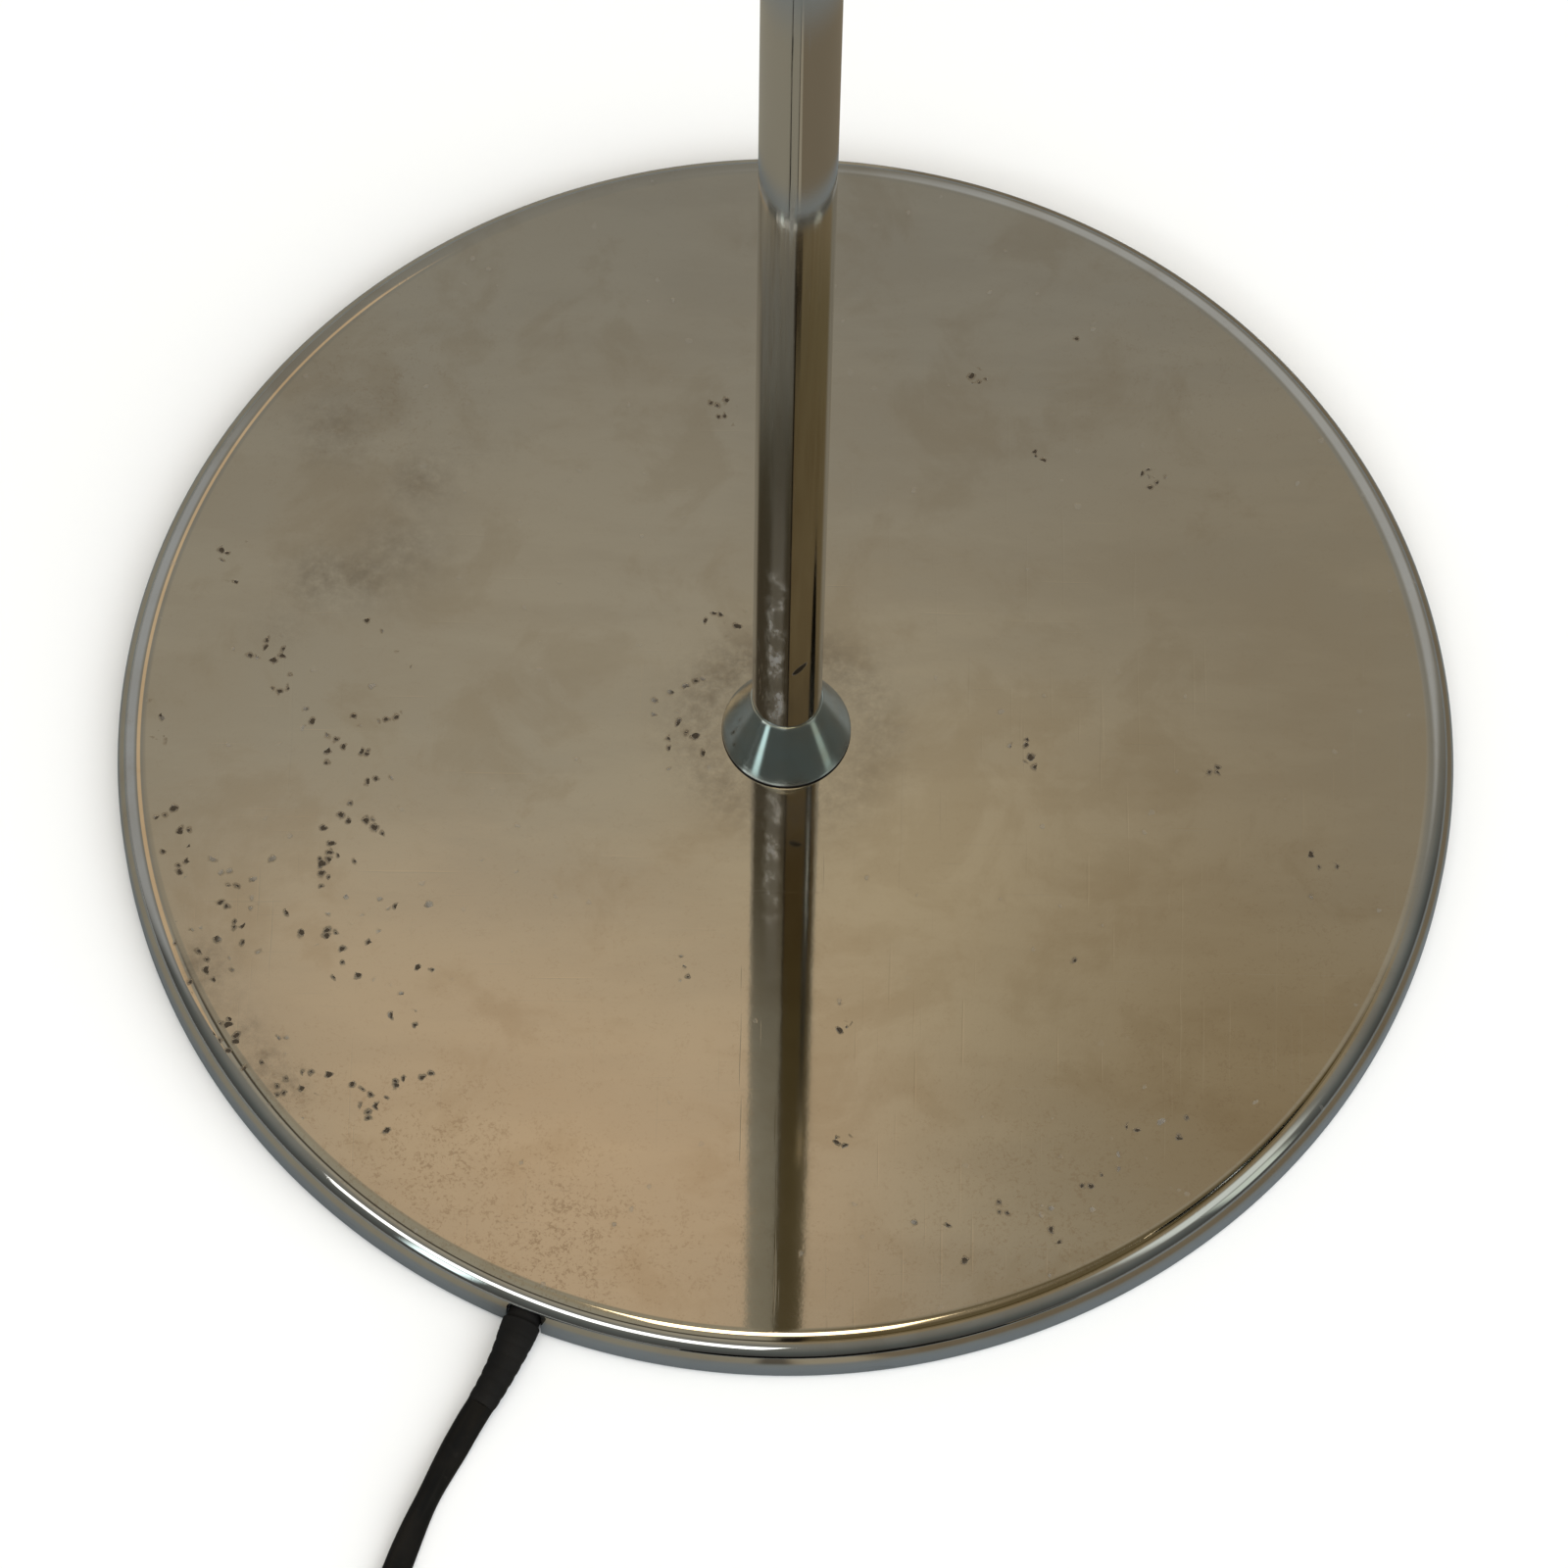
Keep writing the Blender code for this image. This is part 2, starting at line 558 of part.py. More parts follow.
def make_fork(pivot):
    """Fork on the arc's end. Its own Z runs out of the tube and its own Y is the pivot's axis."""
    lean = Euler((0, acos(ARC_DIRECTION.z), 0))
    collar_length = 12 * MM
    radius = 8.6 * MM
    web = 6 * MM
    bent_tube_room = SLIDE_RADIUS + 2.2 * GAP  # the tube is still bending inside the fork's collar
    fork = add_piece("arc_fork", spun([
        (bent_tube_room, -collar_length),
        (radius - MM, -collar_length),
        (radius, MM - collar_length),
        (radius, web - MM),
        (radius - MM, web),
        (LEAD_RADIUS + 2 * GAP, web),
        (LEAD_RADIUS + 2 * GAP, GAP),
        (bent_tube_room, GAP),
    ], SEGMENTS_SMALL), "chrome", ARC_END, lean, pivot)
    cheek_inside = 4.2 * MM
    cheek_outside = 7.2 * MM
    cheek_radius = 7.4 * MM
    foot = web - 2 * MM
    for side in (-1, 1):
        outline = [(-cheek_radius, foot)]
        outline += [
            (-cheek_radius * cos(pi * i / 12), PIVOT_REACH + cheek_radius * sin(pi * i / 12)) for i in range(13)
        ]
        outline += [(cheek_radius, foot)]
        inside, outside = sorted((side * cheek_inside, side * cheek_outside))
        cheek = lofted([[(x, y, z) for x, z in outline] for y in (inside, outside)])
        cut(fork, cheek, ARC_END, lean, pivot, "UNION")
    hole = spun(rod_profile(2.8 * MM, -20 * MM, 20 * MM), SEGMENTS_TINY)
    cut(fork, hole, TILT_PIVOT, ALONG_MINUS_Y, pivot)

    friction_washer = 2.9 * MM
    for name, bottom in (("tilt_washer_front", friction_washer), ("tilt_washer_back", -3.9 * MM)):
        washer = tube_profile(6.8 * MM, 2.8 * MM, bottom, bottom + MM)
        add_piece(name, spun(washer, SEGMENTS_SMALL), "nylon", TILT_PIVOT, ALONG_MINUS_Y, pivot)
    head_start = cheek_outside + GAP
    add_piece("tilt_screw", spun([
        (0, -head_start - 3.4 * MM),
        (4.4 * MM, -head_start - 3.4 * MM),
        (5 * MM, -head_start - 2.6 * MM),
        (5 * MM, -head_start),
        (2.5 * MM, -head_start),
        (2.5 * MM, 12.6 * MM),
        (0, 12.6 * MM),
    ], SEGMENTS_SMALL), "chrome", TILT_PIVOT, ALONG_MINUS_Y, pivot)


def make_tilt_knob(arc_pivot):
    pivot = make_pivot("tilt_knob_axis", TILT_PIVOT, arc_pivot)
    make_grip("tilt_knob", 9 * MM, 7.6 * MM, 16.6 * MM, "black_plastic", TILT_PIVOT, 2.8 * MM, pivot)


# ---- shade --------------------------------------------------------------------------
def dome(radius, depth, top, steps):
    """Outline of the shade from the rim to the top, as a flattened quarter circle of power 2.3."""
    power = 2 / 2.3
    return [
        (radius * cos(a) ** power, top - depth + depth * sin(a) ** power)
        for a in (radians(84) * i / steps for i in range(steps + 1))
    ]


def make_shade(arc_pivot):
    pivot = make_pivot("shade_tilt_axis", TILT_PIVOT, arc_pivot)

    def turned_piece(name, profile, finish, segments=SEGMENTS_SMALL):
        return add_piece(name, spun(profile, segments), finish, TILT_PIVOT, parent=pivot)

    # Tongue in the fork, drawn down into a round neck for the nipple. Heights are from the pivot.
    tongue_half = 2.6 * MM
    tongue_radius = 7.4 * MM
    neck_top = -15 * MM
    neck_bottom = -27 * MM
    neck_radius = 8.6 * MM
    tongue = turned_piece("shade_tongue", [
        (NIPPLE_HOLE, neck_bottom),
        (neck_radius - MM, neck_bottom),
        (neck_radius, neck_bottom + MM),
        (neck_radius, neck_top - 3 * MM),
        (tongue_radius, neck_top),
        (0, neck_top),
        (0, neck_top - 4 * MM),
        (NIPPLE_HOLE, neck_top - 4 * MM),
    ], "chrome")
    blade = [(tongue_radius * cos(pi * i / 12), tongue_radius * sin(pi * i / 12)) for i in range(13)]
    blade += [(-tongue_radius, neck_top - 2 * MM), (tongue_radius, neck_top - 2 * MM)]
    blade_bm = lofted([[(x, y, z) for x, z in blade] for y in (-tongue_half, tongue_half)])
    cut(tongue, blade_bm, TILT_PIVOT, parent=pivot, operation="UNION")
    hole = spun(rod_profile(2.8 * MM, -20 * MM, 20 * MM), SEGMENTS_TINY)
    cut(tongue, hole, TILT_PIVOT, ALONG_MINUS_Y, pivot)

    # Cap over the shade's crown, then the shade itself.
    cap_top = neck_bottom - GAP
    cap_bottom = cap_top - 9 * MM
    cap_radius = 24 * MM
    cap_wall = 1.5 * MM
    turned_piece("shade_cap", [
        (NIPPLE_HOLE, cap_top),
        (9.5 * MM, cap_top),
        (16 * MM, cap_top - 2.2 * MM),
        (cap_radius - MM, cap_bottom + 1.5 * MM),
        (cap_radius, cap_bottom),
        (cap_radius - cap_wall, cap_bottom),
        (15.4 * MM, cap_top - 2.2 * MM - cap_wall),
        (9.5 * MM, cap_top - cap_wall),
        (NIPPLE_HOLE, cap_top - cap_wall),
    ], "chrome", SEGMENTS_MEDIUM)
    crown = cap_bottom - GAP
    outside = dome(SHADE_RADIUS, SHADE_DEPTH, crown, 9)
    inside = dome(SHADE_RADIUS - SHADE_WALL, SHADE_DEPTH - SHADE_WALL, crown - SHADE_WALL, 9)
    flat_top = outside[-1][1]
    turned_piece("shade", [
        *outside,
        (NIPPLE_HOLE, flat_top),
        (NIPPLE_HOLE, flat_top - SHADE_WALL),
        (inside[-1][0], flat_top - SHADE_WALL),
        *inside[-2::-1],
    ], "chrome", SEGMENTS_MEDIUM)
    nut_top = flat_top - SHADE_WALL - GAP
    nut_height = 3 * MM
    make_hex_nut("shade_nut", 14 * MM, nut_top - nut_height, nut_height, TILT_PIVOT, pivot)
    make_lampholder(pivot, turned_piece, nut_top - nut_height - GAP)
    return pivot


def make_lampholder(pivot, turned_piece, top):
    """E27 lampholder and bulb. Heights are from the tilt pivot."""
    nipple_bottom = top - 12 * MM
    nipple = tube_profile(NIPPLE_RADIUS, NIPPLE_BORE, nipple_bottom, -19.4 * MM)
    turned_piece("holder_nipple", nipple, "brass")
    cap_bottom = top - 22 * MM
    cap_radius = 19 * MM
    wall = 1.8 * MM
    turned_piece("holder_cap", [
        (NIPPLE_HOLE, top),
        (8.5 * MM, top),
        (10 * MM, top - 3 * MM),
        (15 * MM, top - 6 * MM),
        (cap_radius, top - 12 * MM),
        (cap_radius, cap_bottom),
        (cap_radius - wall, cap_bottom),
        (cap_radius - wall, top - 12 * MM),
        (14 * MM, top - 7.6 * MM),
        (8 * MM, top - 4.6 * MM),
        (NIPPLE_HOLE, top - 4.6 * MM),
    ], "black_plastic")
    skirt_top = cap_bottom - GAP
    skirt_bottom = skirt_top - 30 * MM
    skirt_radius = 19.6 * MM
    insert_radius = 16.6 * MM
    turned_piece("holder_skirt", [
        (skirt_radius - 1.5 * MM, skirt_top),
        (skirt_radius, skirt_top - 1.5 * MM),
        (skirt_radius - 0.8 * MM, skirt_bottom),
        (insert_radius + GAP, skirt_bottom),
        (insert_radius + GAP, skirt_top),
    ], "black_plastic")
    insert_top = skirt_top + 2 * MM
    insert_floor = insert_top - 5 * MM
    shell_bore = 14.6 * MM
    turned_piece("holder_insert", [
        (0, insert_top),
        (insert_radius, insert_top),
        (insert_radius, skirt_top - 9 * MM),
        (shell_bore, skirt_top - 9 * MM),
        (shell_bore, insert_floor),
        (0, insert_floor),
    ], "ceramic")
    contact_top = insert_floor - GAP
    turned_piece("holder_contact", rod_profile(3.4 * MM, contact_top - 1.4 * MM, contact_top), "brass")
    cap_start = contact_top - 1.4 * MM - GAP
    glass_start = cap_start - 25 * MM
    cap_radius = 13.2 * MM
    wall = 1 * MM
    turned_piece("bulb_cap", [
        (0, cap_start),
        (4.6 * MM, cap_start),
        (5.2 * MM, cap_start - 2 * MM),
        (12.6 * MM, cap_start - 4 * MM),
        (cap_radius, cap_start - 6 * MM),
        (cap_radius, glass_start),
        (cap_radius - wall, glass_start),
        (cap_radius - wall, cap_start - 6 * MM),
        (0, cap_start - 4 * MM),
    ], "brass")
    bulb_radius = 27 * MM
    bulb_length = 64 * MM
    neck_radius = 12.4 * MM
    ball = glass_start - GAP - bulb_length + bulb_radius
    shoulder_angle = acos(neck_radius / bulb_radius) - radians(14)

    def skin(inset):
        """The bulb's outline from its neck to its tip, at a depth inside the glass."""
        radius = bulb_radius - inset
        angles = [shoulder_angle - (shoulder_angle + pi / 2) * i / 8 for i in range(8)]
        return [
            (neck_radius - inset, glass_start - GAP),
            (neck_radius + 0.8 * MM - inset, glass_start - 10 * MM),
            *[(radius * cos(a), ball + radius * sin(a)) for a in angles],
            (0, ball - radius),
        ]

    turned_piece("bulb_glass", skin(wall)[::-1] + skin(0), "opal_glass")


# ---- cord, switch and plug ----------------------------------------------------------
# The route on the floor, as places chosen by hand, in millimetres.
ROUTE_TO_SWITCH = (
    (-56.3, -144.4, 5.3), (-59.4, -152.3, 4.9), (-63.6, -160.8, 4.0), (-69.7, -169.6, 3.4),
    (-74.0, -176.4, 3.25), (-77.2, -183.8, 3.2), (-80.0, -192.0, 3.2), (-82.6, -200.2, 3.2),
    (-85.2, -209.5, 3.2), (-88.0, -222.0, 3.2), (-90.0, -240.0, 3.2), (-90.2, -260.0, 3.2),
    (-87.6, -280.0, 3.2), (-81.5, -299.0, 3.2), (-71.5, -316.5, 3.2), (-58.0, -331.5, 3.2),
    (-41.5, -343.5, 3.3), (-22.0, -351.8, 3.8), (-2.0, -356.0, 4.8), (17.0, -357.0, 6.0),
    (33.7, -357.0, 6.4),
)
ROUTE_TO_COIL = (
    (118.3, -357.0, 6.4), (132.0, -356.0, 5.6), (148.0, -351.5, 4.2), (162.0, -343.0, 3.4),
    (172.5, -330.5, 3.2), (178.5, -315.0, 3.2), (179.3, -298.0, 3.2), (174.6, -281.5, 3.2),
    (164.5, -267.5, 3.2), (150.0, -256.6, 3.2), (132.0, -248.8, 3.2), (112.0, -243.8, 3.2),
    (90.0, -240.9, 3.2), (66.0, -239.4, 3.2), (42.0, -238.8, 3.3), (19.5, -238.7, 3.4),
)


def cord_rise(point, before, after):
    """Directions across and up, square to the route at one of its points."""
    along = (Vector(after) - Vector(before)).normalized()
    across = along.cross(Vector((0, 0, 1))).normalized()
    return across, across.cross(along)


def make_cord():
    spacing = 14 * MM
    near = [Vector(point) * MM for point in ROUTE_TO_SWITCH]
    far = [Vector(point) * MM for point in ROUTE_TO_COIL]
    fine = smooth_route(near, 1 * MM)
    relief_end = 22
    radius = CORD_WIDTH / 2

    # Strain relief: a flange inside the rim, a neck in the notch and a taper along the cord.
    sections = [
        (-9.0, 5.6, 3.4), (-7.0, 5.6, 3.4), (-6.8, 3.9, 3.3), (0.6, 3.9, 3.3),
        (1.0, 4.5, 3.9), (4.0, 4.4, 3.8), (10.0, 3.9, 3.4), (16.0, 3.5, 3.2), (relief_end, 3.3, 3.1),
    ]
    rings = []
    for station, half_width, half_height in sections:
        if station < 0:
            middle = near[0] + CORD_OUT * station * MM
            across, up = cord_rise(middle, middle, middle + CORD_OUT)
        else:
            index = round(station)
            middle = fine[index]
            across, up = cord_rise(middle, fine[max(index - 1, 0)], fine[index + 1])
        lift = max(0.0, half_height * MM + 0.1 * MM - middle.z)
        middle = middle + Vector((0, 0, lift))
        rings.append(ellipse_ring(middle, across, up, half_width * MM, half_height * MM, 16))
    add_piece("cord_strain_relief", lofted(rings), "black_plastic")

    # The free cord, in the stretches between the strain relief, the switch, the coil and the plug.
    start = fine[relief_end] + (fine[relief_end + 1] - fine[relief_end]).normalized() * 2 * GAP
    visible = [start] + smooth_route(fine[relief_end + 6:], spacing)
    add_cord("mains_cord", visible, radius, "cord_black")
    add_cord("mains_cord_after_switch", smooth_route(far, spacing), radius, "cord_black")
    inner = COIL_RADIUS - COIL_HALF_WIDTH
    outer = COIL_RADIUS + COIL_HALF_WIDTH
    bend = 3 * MM
    coil = [
        (outer - bend, 0), (outer, bend), (outer, COIL_HEIGHT - bend), (outer - bend, COIL_HEIGHT),
        (inner + bend, COIL_HEIGHT), (inner, COIL_HEIGHT - bend), (inner, bend), (inner + bend, 0),
    ]
    add_piece("cord_coil", spun(coil, SEGMENTS_MEDIUM), "cord_black", COIL_CENTRE)
    leave_angle = radians(-62)
    outward = Vector((cos(leave_angle), sin(leave_angle), 0))
    along = Vector((-sin(leave_angle), cos(leave_angle), 0))
    clear = sqrt((outer + GAP) ** 2 - (COIL_OUTER_TURN - radius) ** 2)
    tail_start = COIL_CENTRE + outward * COIL_OUTER_TURN + along * clear + Vector((0, 0, 9.8 * MM))
    tail_end = PLUG_START - Vector((2 * GAP, 0, 0))
    tail = [
        tail_start,
        tail_start + along * 9 * MM - Vector((0, 0, 0.6 * MM)),
        tail_end - Vector((13 * MM, 3.2 * MM, -0.8 * MM)),
        tail_end - Vector((5 * MM, 0.4 * MM, 0)),
        tail_end,
    ]
    add_cord("plug_tail", smooth_route(tail, 9 * MM), radius, "cord_black")

    # Inside the base the flat cord lies in its channel, and its cores alone go on up the stem.
    cord_inside = BASE_RADIUS - 9 * MM - GAP
    sheath_end = 36 * MM
    sheath_length = cord_inside - sheath_end
    ring = [(y, z) for y, z in rounded_outline(CORD_WIDTH, CORD_THICKNESS, CORD_THICKNESS / 2 - 0.01 * MM, 4)]
    sheath = lofted([[(x, along_y, z) for x, z in ring] for along_y in (-sheath_length / 2, sheath_length / 2)])
    middle = CORD_OUT * (sheath_end + sheath_length / 2) + Vector((0, 0, CORD_HEIGHT))
    add_piece("base_cord", sheath, "cord_black", middle, Euler((0, 0, CORD_SIDE)))
    bend = 4.5 * MM
    low = 3.9 * MM
    run = [CORD_OUT * (sheath_end - GAP) + Vector((0, 0, CORD_HEIGHT))]
    falling = ((30, 5.2), (22, 4.4), (14, 3.9))
    run += [CORD_OUT * reach * MM + Vector((0, 0, height * MM)) for reach, height in falling]
    run += [
        CORD_OUT * bend * (1 - sin(a)) + Vector((0, 0, low + bend * (1 - cos(a))))
        for a in (pi / 2 * i / 6 for i in range(7))
    ]
    run += [Vector((0, 0, 40 * MM)), Vector((0, 0, 270 * MM))]
    add_cord("stem_lead", run, LEAD_RADIUS, "lead_brown")


def make_switch():
    outer = rounded_outline(SWITCH_LENGTH, SWITCH_WIDTH, 13 * MM, 6)
    inner = rounded_outline(SWITCH_LENGTH - 2 * SWITCH_WALL, SWITCH_WIDTH - 2 * SWITCH_WALL, 11 * MM, 6)

    def tray(levels):
        return lofted([[(x * size, y * size, height) for x, y in ring] for ring, height, size in levels])

    edge = 1.2 * MM
    small = 0.965
    base = add_piece("switch_base", tray([
        (outer, 0, small),
        (outer, edge, 1),
        (outer, SWITCH_SPLIT, 1),
        (inner, SWITCH_SPLIT, 1),
        (inner, SWITCH_WALL, 1),
    ]), "black_plastic", SWITCH_MIDDLE)
    cover_bottom = SWITCH_SPLIT + GAP
    under = SWITCH_HEIGHT - SWITCH_WALL
    cover = add_piece("switch_cover", tray([
        (outer, SWITCH_HEIGHT, 0.9),
        (outer, SWITCH_HEIGHT - 1 * MM, 0.955),
        (outer, SWITCH_HEIGHT - 3.5 * MM, 1),
        (outer, cover_bottom, 1),
        (inner, cover_bottom, 1),
        (inner, under - 1.5 * MM, 1),
        (inner, under, 0.94),
    ]), "black_plastic", SWITCH_MIDDLE)
    button_hole = spun(rod_profile(BUTTON_RADIUS + GAP, 10 * MM, 30 * MM), SEGMENTS_SMALL)
    cut(cover, button_hole, SWITCH_MIDDLE)
    cord_slot = prism(rounded_outline(SWITCH_LENGTH + 10 * MM, 7 * MM, 1 * MM, 2), 2.9 * MM, 12 * MM)
    cut(base, cord_slot, SWITCH_MIDDLE)

    # Two screws come up through the base into bosses in the cover.
    screw_reach = 27 * MM
    screw_offset = 7.5 * MM
    for number, side in enumerate((-1, 1), 1):
        place = SWITCH_MIDDLE + Vector((side * screw_reach, side * screw_offset, 0))
        boss = spun(rod_profile(3.4 * MM, 4 * MM, under + 0.5 * MM), SEGMENTS_TINY)
        cut(cover, boss, place, operation="UNION")
        cut(cover, spun(rod_profile(1.7 * MM, 2 * MM, 17 * MM), SEGMENTS_TINY), place)
        cut(base, spun(rod_profile(3.1 * MM, -2 * MM, 4 * MM), SEGMENTS_TINY), place)
        add_piece(f"switch_screw_{number}", spun([
            (0, 0.5 * MM),
            (2.7 * MM, 0.5 * MM),
            (2.7 * MM, 2 * MM),
            (1.3 * MM, 3.4 * MM),
            (1.3 * MM, 14 * MM),
            (0, 14 * MM),
        ], SEGMENTS_TINY), "zinc_steel", place)

    block = prism(rounded_outline(26 * MM, 20 * MM, 2 * MM, 2), 2.3 * MM, 5 * MM)
    add_piece("switch_contact_block", block, "nylon", SWITCH_MIDDLE)
    turns = 4
    points_per_turn = 12
    spring_radius = 5 * MM
    wire = 0.45 * MM
    spring_low = 5.8 * MM
    spring_high = 12.2 * MM
    count = turns * points_per_turn
    helix = [
        SWITCH_MIDDLE + Vector((
            spring_radius * cos(2 * pi * i / points_per_turn),
            spring_radius * sin(2 * pi * i / points_per_turn),
            spring_low + (spring_high - spring_low) * i / count,
        ))
        for i in range(count + 1)
    ]
    add_cord("switch_spring", helix, wire, "zinc_steel", resolution=1)

    pivot = make_pivot("switch_button_axis", SWITCH_MIDDLE)
    flange_top = under - GAP
    flange_bottom = flange_top - 2.4 * MM
    flange = BUTTON_RADIUS + 2 * MM
    dish = 0.8 * MM
    add_piece("switch_button", spun([
        (0, flange_bottom),
        (flange, flange_bottom),
        (flange, flange_top),
        (BUTTON_RADIUS, flange_top),
        (BUTTON_RADIUS, BUTTON_TOP - MM),
        (BUTTON_RADIUS - MM, BUTTON_TOP),
        (BUTTON_RADIUS - 3 * MM, BUTTON_TOP - 0.3 * MM),
        (0, BUTTON_TOP - dish),
    ], SEGMENTS_SMALL), "black_plastic", SWITCH_MIDDLE, parent=pivot)


def make_plug():
    """Two-pin plug lying on the floor. Sections run from the cord's end to its face along +X."""
    sections = [
        (0, 3.6, 3.4), (15, 4.4, 4.2), (17, 7.0, 5.2), (22, 13.0, 6.4), (30, 16.4, 6.9),
        (44, 17.4, 6.9), (50, 17.6, 6.9),
    ]
    across = Vector((0, 1, 0))
    up = Vector((0, 0, 1))
    rings = [
        ellipse_ring(Vector((station * MM, 0, 0)), across, up, half_width * MM, half_height * MM, 20)
        for station, half_width, half_height in sections
    ]
    body = add_piece("plug_body", lofted(rings), "black_plastic", PLUG_START)
    pin_side = 9.3 * MM
    pin_radius = 2 * MM
    face = 50 * MM
    for name, side in (("plug_pin_left", 1), ("plug_pin_right", -1)):
        place = PLUG_START + Vector((0, side * pin_side, 0))
        cut(body, spun(rod_profile(pin_radius + GAP, face - 8 * MM, face + 5 * MM), SEGMENTS_TINY), place, ALONG_X)
        pin = spun(rod_profile(pin_radius, face - 7.6 * MM, face + 19 * MM, 0.6 * MM), SEGMENTS_TINY)
        add_piece(name, pin, "brass", place, ALONG_X)


def main():
    clear_scene()
    make_base()
    make_stem()
    make_clamp_knob()
    slide_pivot = make_slide()
    arc_pivot = make_arc(slide_pivot)
    make_shade(arc_pivot)
    make_tilt_knob(arc_pivot)
    make_cord()
    make_switch()
    make_plug()


main()
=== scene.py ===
import json
from math import pi, radians

import bmesh
import bpy
import numpy as np
from mathutils import Matrix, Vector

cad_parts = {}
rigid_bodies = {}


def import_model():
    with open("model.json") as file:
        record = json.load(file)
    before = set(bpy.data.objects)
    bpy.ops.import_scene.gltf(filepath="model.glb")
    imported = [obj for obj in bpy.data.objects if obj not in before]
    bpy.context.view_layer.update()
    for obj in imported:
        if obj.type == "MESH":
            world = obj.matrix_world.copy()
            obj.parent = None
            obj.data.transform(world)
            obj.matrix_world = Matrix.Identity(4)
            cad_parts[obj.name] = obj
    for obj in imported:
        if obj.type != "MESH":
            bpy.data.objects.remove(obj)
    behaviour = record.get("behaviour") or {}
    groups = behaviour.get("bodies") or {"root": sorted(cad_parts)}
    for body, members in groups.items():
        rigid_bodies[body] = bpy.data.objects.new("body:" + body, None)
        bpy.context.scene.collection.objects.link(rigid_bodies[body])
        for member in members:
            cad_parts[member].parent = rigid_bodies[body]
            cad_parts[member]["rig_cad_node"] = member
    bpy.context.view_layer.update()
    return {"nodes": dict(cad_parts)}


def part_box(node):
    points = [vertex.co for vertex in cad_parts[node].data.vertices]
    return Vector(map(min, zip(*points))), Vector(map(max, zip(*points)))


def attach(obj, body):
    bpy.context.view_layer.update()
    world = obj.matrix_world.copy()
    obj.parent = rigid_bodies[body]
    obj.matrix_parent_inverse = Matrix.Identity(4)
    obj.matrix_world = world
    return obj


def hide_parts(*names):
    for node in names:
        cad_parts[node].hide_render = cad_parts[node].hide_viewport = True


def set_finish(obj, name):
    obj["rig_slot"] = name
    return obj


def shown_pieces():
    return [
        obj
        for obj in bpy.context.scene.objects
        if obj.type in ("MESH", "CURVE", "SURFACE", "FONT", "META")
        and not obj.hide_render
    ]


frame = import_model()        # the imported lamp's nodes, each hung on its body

mm = 0.001  # shapes are worked out in millimetres, and become metres when their mesh is made
nodes = frame["nodes"]
scene = bpy.context.scene
scene.view_settings.view_transform = "Standard"  # the floor stays white and the metal keeps its own tone


view = {
    "lens": 168.3,
    "place": (-0.00116, -0.73473, 1.54139),
    "turn": -0.0705,  # degrees, about the vertical
    "tilt": 25.239,  # degrees up from straight down
    "roll": 1.1985,
}


def makeCamera():
    # It is rolled about its own view, tilted up from straight down, turned about the vertical, then moved.
    camera = bpy.data.objects.new("camera", bpy.data.cameras.new("camera"))
    scene.collection.objects.link(camera)
    camera.data.lens = view["lens"]
    camera.data.clip_start = 0.05
    camera.data.clip_end = 400
    turn = Matrix.Rotation(radians(view["turn"]), 4, "Z")
    tilt = Matrix.Rotation(radians(view["tilt"]), 4, "X")
    roll = Matrix.Rotation(radians(view["roll"]), 4, "Z")
    camera.matrix_world = Matrix.Translation(view["place"]) @ turn @ tilt @ roll
    scene.camera = camera


makeCamera()
print("camera placed")


upright = np.eye(3)
towardsFront = np.array([(1, 0, 0), (0, 0, -1), (0, 1, 0)], float)  # a piece's own Z points along -Y
towardsRight = np.array([(0, 0, 1), (0, 1, 0), (-1, 0, 0)], float)  # a piece's own Z points along +X


def boxOf(node):
    # the lowest and the highest corner of a CAD node, in millimetres
    low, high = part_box(node)
    return np.array(low) / mm, np.array(high) / mm


def tidy(mesh, sharpAngle=38):
    # merges what touches, drops empty faces, turns the faces outwards and shades the round parts smooth
    work = bmesh.new()
    work.from_mesh(mesh)
    bmesh.ops.remove_doubles(work, verts=work.verts, dist=1e-6)
    bmesh.ops.dissolve_degenerate(work, edges=work.edges, dist=1e-7)
    bmesh.ops.recalc_face_normals(work, faces=work.faces)
    work.to_mesh(mesh)
    work.free()
    mesh.shade_smooth()
    mesh.set_sharp_from_angle(angle=radians(sharpAngle))


def gridPiece(name, points, rowsClosed=False, capped=True):
    # points is rows x columns x 3: every cell of the grid is a face, and the columns close into rings.
    # The map holds the way round as 0 to 1 and the way along in metres.
    rows, columns = points.shape[:2]
    index = np.arange(rows * columns).reshape(rows, columns)
    steps = np.linalg.norm(np.diff(points, axis=0), axis=2).mean(1) * mm
    along = np.concatenate([[0], np.cumsum(steps)])
    if rowsClosed:
        index = np.vstack([index, index[:1]])
        along = np.append(along, along[-1] + steps.mean())
    cells = np.stack([index[:-1], np.roll(index, -1, 1)[:-1], np.roll(index, -1, 1)[1:], index[1:]], -1)
    faces = cells.reshape(-1, 4).tolist()
    if capped:
        faces += [index[0, ::-1].tolist(), index[-1].tolist()]
    mesh = bpy.data.meshes.new(name)
    mesh.from_pydata(points.reshape(-1, 3) * mm, [], faces)
    around = np.arange(columns) / columns
    corners = np.zeros((len(index) - 1, columns, 4, 2))
    corners[..., (0, 3), 0] = around[None, :, None]
    corners[..., (1, 2), 0] = around[None, :, None] + 1 / columns
    corners[..., (0, 1), 1] = along[:-1, None, None]
    corners[..., (2, 3), 1] = along[1:, None, None]
    flat = np.zeros((len(mesh.loops), 2))
    flat[:corners.size // 2] = corners.reshape(-1, 2)
    mesh.uv_layers.new(name="lay").data.foreach_set("uv", flat.ravel())
    tidy(mesh)
    piece = bpy.data.objects.new(name, mesh)
    scene.collection.objects.link(piece)
    return piece


